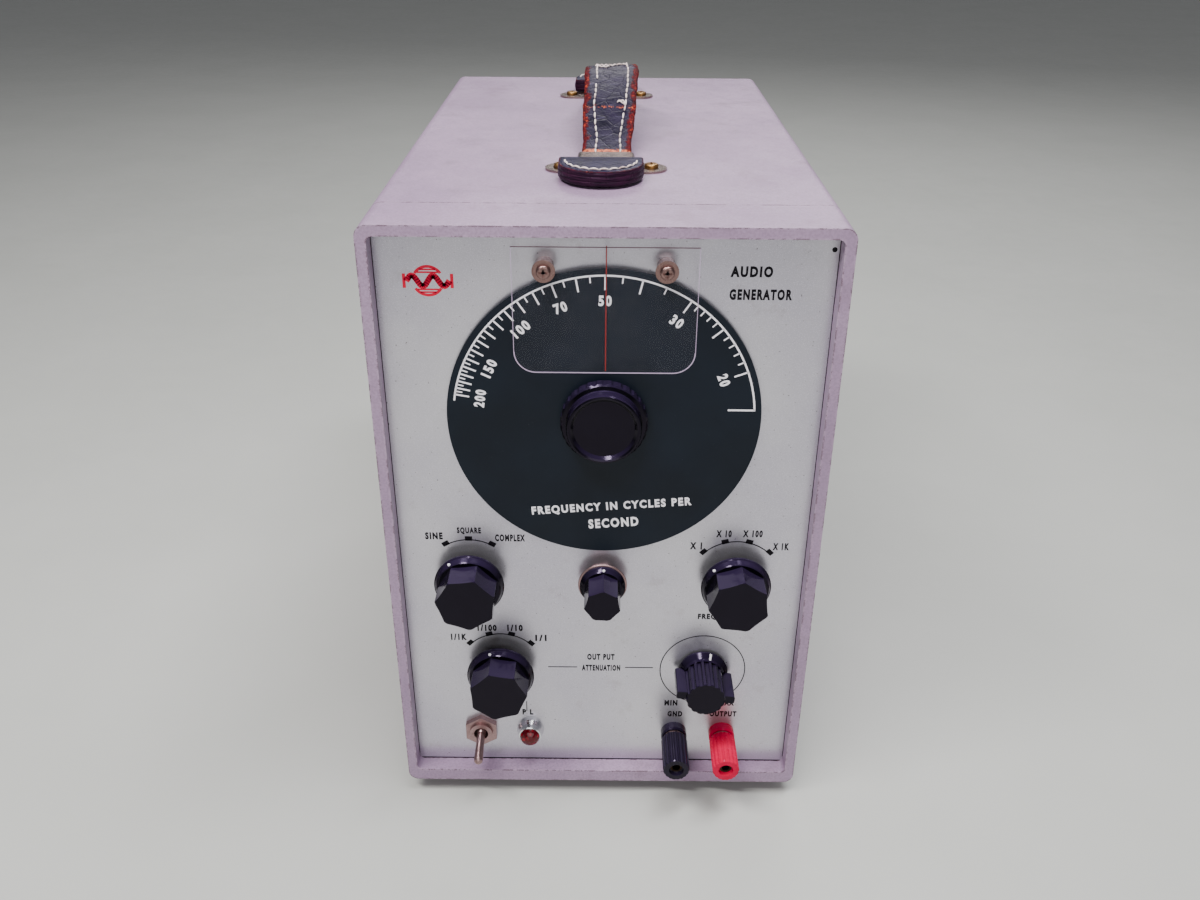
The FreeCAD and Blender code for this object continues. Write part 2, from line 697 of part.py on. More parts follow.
def switch_body(name, x, above):
    """A rotary switch: a threaded bush, a front plate and two wafers on posts."""
    bush = cylinder("bush_radius", "5 + panel_thickness", z="-panel_thickness - 0.5")
    front = cylinder("15.5", "3", z="-panel_thickness - 3.1")
    wafers = [cylinder("15", "1.6", z=f"-panel_thickness - {back}") for back in (12, 21)]
    posts = [cylinder("1.6", "20", x=side, z="-panel_thickness - 22") for side in (-12, 12)]
    bore = cylinder("shaft_radius + running_gap", "60", z="-40")
    return label(on_panel(cut(fuse(bush, front, *wafers, *posts), bore), x, above), name)


def control_shaft(name, x, above, out, length):
    """A round shaft that starts inside its knob, out in front of the panel."""
    start = f"{PANEL_Y} - ({out})"
    return label(cylinder("shaft_radius", length, x, start, height(above), FACING_REAR), name)


def level_potentiometer():
    bush = cylinder("bush_radius", "4.3 + panel_thickness", z="-panel_thickness - 0.5")
    can = cylinder("12", "13", z="-panel_thickness - 13.1")
    bore = cylinder("shaft_radius + running_gap", "40", z="-30")
    return label(on_panel(cut(fuse(bush, can), bore), "level_offset", "level_height"), "level_potentiometer")


def bushing_nuts():
    """Hexagon nuts in front of the panel that hold the switches, the control and the bearings."""
    places = [("-switch_offset", "row_height"), ("switch_offset", "row_height"),
              ("attenuator_offset", "lower_row_height"), ("level_offset", "level_height"), ("0", "row_height")]
    nuts = []
    for x, above in places:
        ring = cut(hexagon("13", "2.4"), cylinder("bush_radius", "10", z="-2"))
        nuts.append(on_panel(ring, x, above, "0.05", 10))
    return group("bushing_nuts", nuts)


# ---------------------------------------------------------------- lower row

def toggle_switch():
    """The body behind the panel and its threaded collar in front."""
    block = box("-6.5", "-11", "-panel_thickness - 22", "13", "22", "22 - 0.1")
    collar = cylinder("5.9", "panel_thickness + 5", z="-panel_thickness - 0.5")
    mouth = cone("2.9", "3.7", "3.6", z="1")
    throat = cylinder("2.9", "5", z="-3")
    return label(on_panel(cut(fuse(block, collar), mouth, throat), "toggle_offset", "base_row_height"),
                 "toggle_switch")


def toggle_nut():
    ring = cut(hexagon("15.6", "3"), cylinder("5.9", "10", z="-2"))
    return label(on_panel(ring, "toggle_offset", "base_row_height", "0.05", 30), "toggle_nut")


def toggle_lever():
    """The lever: a stem that widens to a rounded end. At rest it points out and down."""
    body = turned("toggle_lever", [("0", "0"), ("2.6", "0"), ("2.5", "0.8"), ("2.1", "1.8"), ("2.05", "5"),
                                   ("2.25", "16.5"), ("2.1", "18"), ("1.3", "18.9"), ("0", "19.2")])
    tilt = FreeCAD.Rotation(Vector(1, 0, 0), 90 + 13)
    return put(body, "toggle_offset", PANEL_Y + " - 2.4", height("base_row_height"), tilt)


def lamp_bezel():
    """A plated ring that holds the lamp's lens; its tube passes through the panel."""
    body = turned("lamp_bezel", [("3.4", "0"), ("4.8", "0"), ("4.8", "12.05"), ("6.9", "12.05"), ("6.9", "13.2"),
                                 ("5.9", "15.4"), ("5.6", "17.6"), ("5.05", "17.9"), ("5.05", "15"),
                                 ("3.4", "15")])
    return on_panel(body, "lamp_offset", "base_row_height", "-12")


def lamp_jewel():
    """A red glass lens with a faceted dome."""
    body = turned("lamp_jewel", [("0", "0"), ("4.95", "0"), ("4.95", "3.4"), ("4.3", "4.9"), ("2.6", "6.1"),
                                 ("0", "6.5")])
    return on_panel(body, "lamp_offset", "base_row_height", "3.05")


def post_base(name, x):
    """The insulating collar of a binding post."""
    body = turned(name, [("stud_radius", "0"), ("post_radius", "0"), ("post_radius", "3.9"),
                         ("6.1", "post_base_length"), ("stud_radius", "post_base_length")])
    return on_panel(body, x, "post_height")


def post_studs():
    """Threaded studs with a plug socket down the middle and a nut behind the panel."""
    studs = []
    for x in ("ground_offset", "output_offset"):
        stem = cylinder("stud_radius", "41.4", z="-16")
        nut = cut(hexagon("9.5", "3"), cylinder("stud_radius", "9", z="-2"))
        put(nut, 0, 0, "-panel_thickness - 3.2")
        socket = cylinder("socket_radius", "30", z="10.8")
        studs.append(on_panel(fuse(cut(stem, socket), nut), x, "post_height"))
    return group("post_studs", studs)


CLAMP_WASHER = 0.8
POST_LIFT = 0.3
POST_FLUTES = 18


def post_washer(name, x):
    """The plated washer that the cap pushes onto a wire."""
    ring = cut(cylinder("5.6", CLAMP_WASHER), cylinder("stud_radius + 0.2", "9", z="-2"))
    return label(on_panel(ring, x, "post_height", f"post_base_length + {POST_LIFT}"), name)


def post_cap(name, x):
    """The insulated screw cap with its grip flutes and its plug opening."""
    start = f"post_base_length + {CLAMP_WASHER} + 2 * {POST_LIFT}"
    length = f"post_cap_length - {CLAMP_WASHER} - 2 * {POST_LIFT}"
    bore = "stud_radius + running_gap"
    body = turned(name, [(bore, "0"), ("post_radius - 0.4", "0"), ("post_radius", "0.6"),
                         ("post_radius", f"{length} - 0.6"), ("post_radius - 0.4", f"{length}"),
                         ("3.6", f"{length}"), ("3.4", f"{length} - 2"), (bore, f"{length} - 2.2")])
    flute_round(body, name, "post_radius + 0.32 * post_flute_radius", "post_flute_radius", "-1", "40", POST_FLUTES)
    return on_panel(body, x, "post_height", start)


# ---------------------------------------------------------------- cursor over the dial

CURSOR_SCREW_RISE = "dial_height + cursor_screw_above"
CURSOR_SCREW_SIDES = ("-cursor_screw_spacing / 2", "cursor_screw_spacing / 2")


def cursor_plate():
    """A clear plate over the top of the dial, with two screw holes near its upper edge."""
    body = plate("cursor_blank", "XY_Plane", "cursor_width", "cursor_length", "cursor_corner", "cursor_thickness")
    on_panel(body, 0, "dial_height + 51.4", "5.1")
    square_top = slab("cursor_width / 2", PANEL_Y + " - 7", PANEL_Y + " - 5.1", height("dial_height + 66"),
                      height("dial_height + 79"))
    holes = [cylinder("cursor_screw_hole", "9", side, PANEL_Y + " - 10", height(CURSOR_SCREW_RISE), FACING_REAR)
             for side in CURSOR_SCREW_SIDES]
    return label(cut(fuse(body, square_top), *holes), "cursor_plate")


def cursor_spacers():
    rings = []
    for side in CURSOR_SCREW_SIDES:
        tall = cut(cylinder("4", "4.9"), cylinder("cursor_screw_hole", "9", z="-2"))
        rings.append(on_panel(tall, side, CURSOR_SCREW_RISE, "0.1"))
        washer = cut(cylinder("4.8", "0.8"), cylinder("cursor_screw_hole", "9", z="-2"))
        rings.append(on_panel(washer, side, CURSOR_SCREW_RISE, "7.1"))
    return group("cursor_spacers", rings)


def cursor_screws():
    screws = [pan_screw(side, PANEL_Y + " - 8", height(CURSOR_SCREW_RISE), FACING_FRONT, "2.95", "1.45", "12")
              for side in CURSOR_SCREW_SIDES]
    return group("cursor_screws", screws)


# ---------------------------------------------------------------- handle

def handle_brackets():
    """Two pressed saddles on the case top; the strap's ends slide through them."""
    saddles = []
    for middle in ("handle_front", "handle_rear"):
        blank = rounded(box("-bracket_length / 2", "-bracket_depth / 2", "0", "bracket_length", "bracket_depth",
                            "bracket_wall"), (0, 0, 1), "bracket_depth / 2 - 0.2")
        bridge = box("-bridge_width / 2", "-bracket_depth / 2", "0", "bridge_width", "bracket_depth",
                     "bridge_height")
        bridge = rounded(bridge, (0, 1, 0), "2", keep=lambda edge: edge.BoundBox.ZMin > 1)
        tunnel = box("bracket_wall - bridge_width / 2", "-bracket_depth", "-1", "bridge_width - 2 * bracket_wall",
                     "2 * bracket_depth", "bridge_height + 1 - bracket_wall")
        holes = [cylinder("1.7", "4", f"{side} * handle_screw_spacing / 2", z="-1") for side in (-1, 1)]
        saddle = cut(fuse(blank, bridge), tunnel, *holes)
        saddles.append(put(saddle, 0, depth(middle), f"{CASE_TOP} + 0.05"))
    return group("handle_brackets", saddles)


def handle_screws():
    screws = []
    for middle in ("handle_front", "handle_rear"):
        for side in (-1, 1):
            screws.append(pan_screw(f"{side} * handle_screw_spacing / 2", depth(middle),
                                    f"{CASE_TOP} + 0.1 + bracket_wall", ALONG_Z, "3.3", "1.45", "9"))
    return group("handle_screws", screws)


def top_holes():
    return [cylinder("1.5", "12", f"{side} * handle_screw_spacing / 2", depth(middle), f"{CASE_TOP} - 9")
            for middle in ("handle_front", "handle_rear") for side in (-1, 1)]


STRAP_FLOOR = 1.0
STRAP_STEPS = 12
STRAP_FLAT = 0.055


def strap_level(share):
    """Height of the strap's underside above the case, from end (0) to end (1); flat in the saddles."""
    arch = min(1, max(0, (share - STRAP_FLAT) / (1 - 2 * STRAP_FLAT)))
    return STRAP_FLOOR + size("strap_rise") * (0.5 - 0.5 * math.cos(2 * math.pi * arch)) ** 0.8


def handle_strap():
    """The arched leather strip between the two saddles."""
    first, last = size(depth("handle_front - 1")), size(depth("handle_rear + 1"))
    sections = []
    for step in range(STRAP_STEPS + 1):
        share = step / STRAP_STEPS
        swell = math.sin(math.pi * share)
        half = (size("strap_end_width") + (size("strap_grip_width - strap_end_width")) * swell) / 2
        low = size(CASE_TOP) + strap_level(share)
        high = low + size("strap_thickness")
        y = first + (last - first) * share
        corners = [Vector(-half, y, low), Vector(half, y, low), Vector(half, y, high), Vector(-half, y, high)]
        sections.append(Part.makePolygon(corners + corners[:1]))
    strap = doc.addObject("Part::Feature", "handle_strap")
    strap.Shape = Part.makeLoft(sections, True, True)
    return strap


def strap_tab(name, middle, outward, shift):
    """The thick half-round end of the strap, set off sideways by a shift, with a tongue under the saddle."""
    disc = cylinder("tab_radius", "tab_thickness", shift, "-tab_straight")
    straight = box(f"{shift} - tab_radius", "-tab_straight", "0", "2 * tab_radius", "tab_straight",
                   "tab_thickness")
    back = box("-30", "0", "-1", "60", "30", "tab_thickness + 2")
    tongue = box("-strap_end_width / 2", "-1", "0", "strap_end_width", "8.4", "strap_thickness")
    piece = fuse(cut(disc, back), straight, tongue)
    turn = FreeCAD.Rotation(Vector(0, 0, 1), 0 if outward < 0 else 180)
    at = depth(f"{middle} + {outward} * (bracket_depth / 2 + 0.5)")
    return label(put(piece, 0, at, f"{CASE_TOP} + {STRAP_FLOOR} + 0.2", turn), name)


# ---------------------------------------------------------------- assembly

def drilled(piece, tools):
    """The same piece with more holes through it, under the same name."""
    name = piece.Label
    piece.Label = f"{name}_plain"
    return label(cut(piece, *tools), name)


def build_parts():
    cabinet = [front_frame(), drilled(cabinet_shell(), bottom_holes() + top_holes()), front_panel(),
               rear_cover(), rear_cover_screws(), rubber_feet(), foot_screws()]
    inside = [chassis(), tuning_bracket(), capacitor_frame(), capacitor_stator(), capacitor_rotor(),
              tube_sockets(), vacuum_tubes(), transformer_core(), transformer_coil(), filter_capacitor(),
              fuse_holder(), cord_grommet()]
    dial = [dial_disc(), tuning_knob(), tuning_shaft(), drive_disc(), shaft_bushes(), vernier_shaft(),
            vernier_roller(), cursor_plate(), cursor_spacers(), cursor_screws()]
    knob_row = [on_panel(sided_knob("fine_tuning_knob", "small_skirt", "small_body", "small_root"), 0,
                         "row_height", "knob_gap", index_turn(-3))]
    for name, x, above, left in (("waveform", "-switch_offset", "row_height", 32),
                                 ("range", "switch_offset", "row_height", 45),
                                 ("attenuator", "attenuator_offset", "lower_row_height", 16)):
        knob_row.append(on_panel(sided_knob(f"{name}_knob", "knob_skirt", "knob_body", "knob_root"), x, above,
                                 "knob_gap", index_turn(left)))
        knob_row.append(control_shaft(f"{name}_shaft", x, above, "knob_gap + 12.9", "46"))
        knob_row.append(switch_body(f"{name}_switch", x, above))
    knob_row += [level_knob(), control_shaft("level_shaft", "level_offset", "level_height", "17.9", "30"),
                 level_potentiometer(), bushing_nuts()]
    lower = [toggle_switch(), toggle_nut(), toggle_lever(), lamp_bezel(), lamp_jewel(), post_studs()]
    for name in ("ground", "output"):
        x = f"{name}_offset"
        lower += [post_base(f"{name}_post_base", x), post_washer(f"{name}_post_washer", x),
                  post_cap(f"{name}_post_cap", x)]
    handle = [handle_brackets(), handle_screws(), handle_strap(),
              strap_tab("front_strap_tab", "handle_front", -1, "front_tab_shift"),
              strap_tab("rear_strap_tab", "handle_rear", 1, "0")]
    return cabinet + inside + dial + knob_row + lower + handle


def check(pieces):
    """Stop if any object failed or any piece is not a valid shape."""
    for item in doc.Objects:
        if "Invalid" in item.State or "Error" in item.State:
            raise RuntimeError(f"{item.Label} ({item.TypeId}) failed: {item.State}")
    for piece in pieces:
        if piece.Shape.isNull() or not piece.Shape.isValid():
            raise RuntimeError(f"{piece.Label} has no valid shape")


parts = build_parts()
doc.recompute()
check(parts)
os.makedirs("parts", exist_ok=True)
for part in parts:
    part.Shape.exportStep(f"parts/{part.Label}.step")
print(len(parts), "parts written")
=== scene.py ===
"""Looks of a bench audio generator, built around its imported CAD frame.

Sizes are written in millimetres; mm() or MM turns them into the scene's metres.
"""

import json
import math
import random

import bmesh
import bpy
from mathutils import Matrix, Vector, noise


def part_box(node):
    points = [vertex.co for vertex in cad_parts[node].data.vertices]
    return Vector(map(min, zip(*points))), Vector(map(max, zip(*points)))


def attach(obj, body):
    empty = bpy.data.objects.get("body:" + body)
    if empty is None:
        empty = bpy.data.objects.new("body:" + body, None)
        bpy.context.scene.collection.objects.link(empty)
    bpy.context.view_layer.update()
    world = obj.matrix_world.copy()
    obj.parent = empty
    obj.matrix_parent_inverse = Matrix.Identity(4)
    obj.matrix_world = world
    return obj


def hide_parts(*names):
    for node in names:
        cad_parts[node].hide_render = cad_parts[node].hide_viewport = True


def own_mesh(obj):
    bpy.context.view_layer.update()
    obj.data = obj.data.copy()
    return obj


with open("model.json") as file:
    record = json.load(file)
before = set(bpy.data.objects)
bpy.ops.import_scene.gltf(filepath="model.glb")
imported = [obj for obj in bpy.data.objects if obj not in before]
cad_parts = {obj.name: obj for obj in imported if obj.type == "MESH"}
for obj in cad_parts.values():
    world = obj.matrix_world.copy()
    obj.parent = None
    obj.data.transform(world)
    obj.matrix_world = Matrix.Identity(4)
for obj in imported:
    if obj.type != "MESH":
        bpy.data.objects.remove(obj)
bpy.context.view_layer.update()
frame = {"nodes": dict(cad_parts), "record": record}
nodes = frame["nodes"]
chance = random.Random(11)

MM = 0.001


def mm(*values):
    """Millimetres to metres, as a vector."""
    return Vector([value * MM for value in values])


def centre(node):
    """The middle of a node's box, in metres."""
    low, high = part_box(node)
    return (low + high) / 2


PANEL_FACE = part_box("front_panel")[0].y
DIAL_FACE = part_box("dial_disc")[0].y
CASE_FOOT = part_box("cabinet_shell")[0].z
CASE_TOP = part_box("cabinet_shell")[1].z
DIAL_AXIS = centre("dial_disc")


# -------- materials

# Sockets of the Mix node when it mixes colours, which share their names with its other kinds.
MIX_FACTOR, MIX_FIRST, MIX_SECOND = 0, 6, 7
MIX_RESULT = 2


def linear(red, green, blue):
    """A colour given as screen values from 0 to 255, as the renderer's linear values."""
    def channel(value):
        share = value / 255
        return share / 12.92 if share <= 0.04045 else ((share + 0.055) / 1.055) ** 2.4
    return (channel(red), channel(green), channel(blue), 1.0)


class Finish:
    """One material, its node tree built up by the methods below."""

    def __init__(self, name, **constants):
        self.material = bpy.data.materials.new(name)
        self.material.use_nodes = True
        self.tree = self.material.node_tree
        self.shader = self.tree.nodes["Principled BSDF"]
        self.height = None
        for socket, value in constants.items():
            self.shader.inputs[socket.replace("_", " ").title().replace("Ior", "IOR")].default_value = value
        self.place = self.add("ShaderNodeTexCoord").outputs["Object"]

    def add(self, kind, **settings):
        """A new node of this kind, with its settings."""
        made = self.tree.nodes.new(kind)
        for key, value in settings.items():
            setattr(made, key, value)
        return made

    def feed(self, source, socket):
        """Links an output to an input, or sets the input to a plain value."""
        if isinstance(source, bpy.types.NodeSocket):
            self.tree.links.new(source, socket)
        else:
            socket.default_value = source

    def stretched(self, x, y, z):
        """Coordinates scaled along each axis."""
        node = self.add("ShaderNodeMapping")
        self.feed(self.place, node.inputs["Vector"])
        node.inputs["Scale"].default_value = (x, y, z)
        return node.outputs[0]

    def noise(self, size_mm, detail=3.0, roughness=0.5, place=None):
        """Cloudy noise with features of about this size."""
        node = self.add("ShaderNodeTexNoise")
        self.feed(place or self.place, node.inputs["Vector"])
        node.inputs["Scale"].default_value = 1 / (size_mm * MM)
        node.inputs["Detail"].default_value = detail
        node.inputs["Roughness"].default_value = roughness
        return node.outputs["Fac"]

    def cells(self, size_mm, feature="F1"):
        """Distances inside a pattern of cells of about this size."""
        node = self.add("ShaderNodeTexVoronoi", feature=feature)
        self.feed(self.place, node.inputs["Vector"])
        node.inputs["Scale"].default_value = 1 / (size_mm * MM)
        return node.outputs["Distance"]

    def between(self, value, low, high, to_low=0.0, to_high=1.0):
        """The value mapped from one range to another, and held at its ends."""
        node = self.add("ShaderNodeMapRange")
        self.feed(value, node.inputs["Value"])
        limits = (("From Min", low), ("From Max", high), ("To Min", to_low), ("To Max", to_high))
        for socket, number in limits:
            node.inputs[socket].default_value = number
        return node.outputs["Result"]

    def combine(self, operation, first, second):
        """Two values joined by a mathematical operation."""
        node = self.add("ShaderNodeMath", operation=operation)
        self.feed(first, node.inputs[0])
        self.feed(second, node.inputs[1])
        return node.outputs[0]

    def blend(self, factor, first, second):
        """A colour between two, by a factor from 0 to 1."""
        node = self.add("ShaderNodeMix", data_type="RGBA")
        self.feed(factor, node.inputs[MIX_FACTOR])
        self.feed(first, node.inputs[MIX_FIRST])
        self.feed(second, node.inputs[MIX_SECOND])
        return node.outputs[MIX_RESULT]

    def edges(self, width_mm, low=0.01, high=0.12):
        """1 along sharp outside and inside edges, 0 on open faces."""
        bevel = self.add("ShaderNodeBevel", samples=6)
        bevel.inputs["Radius"].default_value = width_mm * MM
        plain = self.add("ShaderNodeNewGeometry").outputs["Normal"]
        dot = self.add("ShaderNodeVectorMath", operation="DOT_PRODUCT")
        self.feed(bevel.outputs[0], dot.inputs[0])
        self.feed(plain, dot.inputs[1])
        return self.between(dot.outputs["Value"], 1 - low, 1 - high)

    def bump(self, height, depth_mm, strength):
        """Relief of this depth, on top of the relief added before."""
        node = self.add("ShaderNodeBump")
        node.inputs["Strength"].default_value = strength
        node.inputs["Distance"].default_value = depth_mm * MM
        self.feed(height, node.inputs["Height"])
        if self.height is not None:
            self.feed(self.height, node.inputs["Normal"])
        self.height = node.outputs[0]
        self.feed(self.height, self.shader.inputs["Normal"])
        return self

    def colour(self, source):
        self.feed(source, self.shader.inputs["Base Color"])
        return self

    def rough(self, source):
        self.feed(source, self.shader.inputs["Roughness"])
        return self


def case_enamel():
    """Stippled mauve-grey enamel, scuffed, and chipped along its edges."""
    paint = Finish("case_enamel", Specular_Ior_Level=0.5)
    cloud = paint.noise(46, 4.0)
    base = paint.blend(paint.between(cloud, 0.35, 0.65), linear(147, 122, 150), linear(161, 136, 163))
    fine = paint.noise(1.1, 2.0)
    base = paint.blend(paint.between(fine, 0.42, 0.6, 0.0, 0.4), base, linear(124, 104, 124))
    grime = paint.between(paint.noise(24, 6.0, 0.65), 0.55, 0.72, 0.0, 0.5)
    base = paint.blend(grime, base, linear(120, 98, 116))
    edge = paint.edges(1.9)
    breakup = paint.noise(3.4, 7.0, 0.75)
    chip = paint.between(paint.combine("MULTIPLY", edge, breakup), 0.49, 0.52)
    scuff = paint.between(paint.noise(2.6, 6.0, 0.75), 0.7, 0.72)
    worn = paint.combine("MAXIMUM", chip, scuff)
    # Painted highlight: every sharp edge is lightened a little towards a paler mauve.
    edge_highlight = paint.blend(paint.combine("MULTIPLY", edge, 0.3), base, linear(190, 168, 188))
    dark = paint.blend(paint.noise(1.4), linear(52, 30, 40), linear(96, 70, 80))
    paint.colour(paint.blend(worn, edge_highlight, dark))
    paint.rough(paint.between(paint.noise(7, 4.0), 0.3, 0.7, 0.36, 0.5))
    paint.bump(paint.cells(1.25, "SMOOTH_F1"), 0.05, 0.5)
    paint.bump(paint.noise(0.6, 2.0), 0.02, 0.5)
    paint.bump(paint.combine("SUBTRACT", 1.0, worn), 0.05, 0.6)
    return paint.material


def panel_enamel():
    """Semi-gloss silver lacquer with a fine sparkle."""
    paint = Finish("panel_enamel", Metallic=0.88, Specular_Ior_Level=0.5)
    cloud = paint.noise(60, 3.0)
    base = paint.blend(paint.between(cloud, 0.35, 0.65), linear(192, 188, 200), linear(206, 203, 210))
    flake = paint.between(paint.cells(0.55), 0.02, 0.4)
    base = paint.blend(flake, linear(228, 224, 234), base)
    stain = paint.between(paint.noise(14, 6.0, 0.7), 0.6, 0.78, 0.0, 0.4)
    base = paint.blend(stain, base, linear(146, 132, 134))
    speck = paint.between(paint.noise(0.9, 2.0, 0.5), 0.72, 0.76)
    paint.colour(paint.blend(speck, base, linear(96, 84, 92)))
    paint.rough(paint.between(paint.noise(5, 5.0, 0.6), 0.3, 0.7, 0.27, 0.38))
    paint.bump(paint.noise(0.5, 3.0), 0.018, 0.6)
    paint.bump(paint.noise(5, 2.0), 0.05, 0.3)
    return paint.material


def dial_black():
    """Satin blue-black anodised sheet with faint wiping marks."""
    sheet = Finish("dial_black", Specular_Ior_Level=0.22)
    base = sheet.blend(sheet.between(sheet.noise(30, 4.0), 0.3, 0.7), linear(6, 14, 24), linear(11, 20, 32))
    dust = sheet.between(sheet.noise(0.9, 3.0, 0.6), 0.68, 0.78, 0.0, 0.25)
    sheet.colour(sheet.blend(dust, base, linear(70, 72, 80)))
    sheet.rough(sheet.between(sheet.noise(11, 5.0, 0.65), 0.3, 0.7, 0.4, 0.52))
    sheet.bump(sheet.noise(0.5, 2.0), 0.012, 0.5)
    return sheet.material


def phenolic(name, dark, light, roughness, gloss, reflection_share):
    """Moulded thermoset: glossy, faintly wavy, scratched, with a faint painted violet reflection on what
    faces up.
    """
    plastic = Finish(name, Specular_Ior_Level=gloss, Specular_Tint=(0.8, 0.66, 1.0, 1))
    base = plastic.blend(plastic.between(plastic.noise(9, 3.0), 0.35, 0.65), linear(*dark), linear(*light))
    # Painted reflection: faces that point upward are tinted violet, standing in for the panel reflected in
    # them.
    upward = plastic.add("ShaderNodeSeparateXYZ")
    plastic.feed(plastic.add("ShaderNodeNewGeometry").outputs["Normal"], upward.inputs[0])
    painted_reflection = plastic.between(upward.outputs["Z"], 0.2, 0.9, 0.0, reflection_share)
    plastic.colour(plastic.blend(painted_reflection, base, linear(92, 72, 122)))
    plastic.rough(plastic.between(plastic.noise(2.2, 6.0, 0.7), 0.4, 0.7, roughness, roughness + 0.14))
    plastic.bump(plastic.noise(6, 2.0), 0.04, 0.25)
    plastic.bump(plastic.noise(0.35, 2.0), 0.004, 0.4)
    return plastic.material


def plated(name, dark, light, roughness, streak, tarnish=(92, 70, 62), amount=0.5):
    """Plated metal: fine grain along one direction, tarnish in patches."""
    metal = Finish(name, Metallic=1.0)
    grain = metal.noise(0.5, 3.0, 0.6, metal.stretched(*streak))
    base = metal.blend(metal.between(grain, 0.35, 0.65), linear(*dark), linear(*light))
    spots = metal.between(metal.noise(4, 6.0, 0.68), 0.52, 0.72, 0.0, amount)
    metal.colour(metal.blend(spots, base, linear(*tarnish)))
    metal.rough(metal.combine("ADD", metal.between(grain, 0.3, 0.7, roughness, roughness + 0.12),
                          metal.combine("MULTIPLY", spots, 0.35)))
    metal.bump(grain, 0.006, 0.4)
    return metal.material


def soft_black(name, tone, roughness, grain_mm):
    """Rubber or lamination: dull, slightly dusty."""
    rubber = Finish(name, Specular_Ior_Level=0.35)
    dark = linear(tone, tone, tone + 2)
    light = linear(tone + 34, tone + 31, tone + 32)
    rubber.colour(rubber.blend(rubber.between(rubber.noise(6, 6.0, 0.7), 0.45, 0.8), dark, light))
    rubber.rough(rubber.between(rubber.noise(3), 0.3, 0.7, roughness, roughness + 0.15))
    rubber.bump(rubber.noise(grain_mm, 3.0), 0.02, 0.5)
    return rubber.material


def layered(name, dark, light, stretch, roughness):
    """Board, paper or windings: fine layers along one direction."""
    board = Finish(name, Specular_Ior_Level=0.4)
    layers = board.noise(0.9, 4.0, 0.6, board.stretched(*stretch))
    board.colour(board.blend(board.between(layers, 0.3, 0.7), linear(*dark), linear(*light)))
    board.rough(board.between(layers, 0.3, 0.7, roughness, roughness + 0.15))
    board.bump(layers, 0.03, 0.5)
    return board.material


def clear_sheet():
    """Clear acrylic with a faint haze, so thin that it barely bends what lies behind it."""
    sheet = Finish("clear_acrylic", Specular_Ior_Level=0.5)
    sheet.colour(linear(150, 146, 160))
    haze = sheet.noise(7, 6.0, 0.7)
    sheet.feed(sheet.between(haze, 0.45, 0.7, 0.012, 0.024), sheet.shader.inputs["Alpha"])
    sheet.rough(sheet.between(haze, 0.3, 0.7, 0.3, 0.4))
    return sheet.material


def tube_glass():
    """Clear glass that lets the light of the lamps through."""
    tint = (0.86, 0.9, 0.9, 1)
    glass = Finish("tube_glass", Transmission_Weight=1.0, Ior=1.5)
    glass.colour(tint)
    glass.rough(glass.between(glass.noise(8, 5.0, 0.7), 0.62, 0.8, 0.02, 0.06))
    lamp_ray = glass.add("ShaderNodeLightPath").outputs["Is Shadow Ray"]
    through = glass.add("ShaderNodeBsdfTransparent")
    through.inputs[0].default_value = tint
    mix = glass.add("ShaderNodeMixShader")
    glass.feed(lamp_ray, mix.inputs[0])
    glass.feed(glass.shader.outputs[0], mix.inputs[1])
    glass.feed(through.outputs[0], mix.inputs[2])
    glass.feed(mix.outputs[0], glass.tree.nodes["Material Output"].inputs[0])
    return glass.material


def lens_red():
    """Deep red pressed glass over a dark socket."""
    lens = Finish("lens_red", Specular_Ior_Level=0.35)
    lens.colour(lens.blend(lens.between(lens.cells(2.4), 0.1, 0.5), linear(178, 4, 34), linear(84, 0, 14)))
    lens.rough(lens.between(lens.noise(1.5), 0.3, 0.7, 0.08, 0.18))
    lens.bump(lens.cells(2.4, "SMOOTH_F1"), 0.2, 0.5)
    return lens.material


def ink(name, tone, worn_tone, wear=0.66):
    """Screen-printed paint that is rubbed thin in places; the cursor plate's painted highlight and shade use
    it too.
    """
    print_ink = Finish(name, Specular_Ior_Level=0.15)
    rub = print_ink.between(print_ink.noise(1.2, 5.0, 0.7), wear, wear + 0.06, 0.0, 0.8)
    print_ink.colour(print_ink.blend(rub, linear(*tone), linear(*worn_tone)))
    print_ink.rough(print_ink.between(print_ink.noise(2), 0.3, 0.7, 0.4, 0.6))
    print_ink.bump(print_ink.noise(0.4), 0.01, 0.3)
    return print_ink.material


def torn_band(hide, base, fibre, band):
    """The pale fibre of a leather where the mesh says that its upper layer is torn."""
    torn = hide.add("ShaderNodeAttribute", attribute_name="torn").outputs["Fac"]
    tear_edge = hide.between(hide.noise(1.8, 5.0, 0.7), 0.3, 0.7, -0.4, 0.4)
    torn = hide.between(hide.combine("ADD", torn, tear_edge), 0.45, 0.6)
    pale = hide.blend(hide.between(fibre, 0.4, 0.55), linear(*band[0]), linear(*band[1]))
    return hide.blend(torn, base, pale)


def stacked_rim(hide, base):
    """The cut rim of a leather of several layers, where the mesh says that it is a side."""
    rim = hide.add("ShaderNodeAttribute", attribute_name="side").outputs["Fac"]
    layers = hide.noise(1.6, 3.0, 0.6, hide.stretched(0.25, 0.25, 4))
    stack = hide.blend(hide.between(layers, 0.35, 0.65), linear(10, 3, 12), linear(52, 22, 44))
    return hide.blend(rim, base, stack)


def rust_fibre(hide, fibre):
    """The red-brown fibre under a leather's worn face."""
    rust = hide.blend(hide.between(fibre, 0.35, 0.6), linear(16, 4, 8), linear(92, 10, 12))
    return hide.blend(hide.between(hide.noise(2.2, 6.0, 0.75), 0.56, 0.66), rust, linear(190, 70, 40))


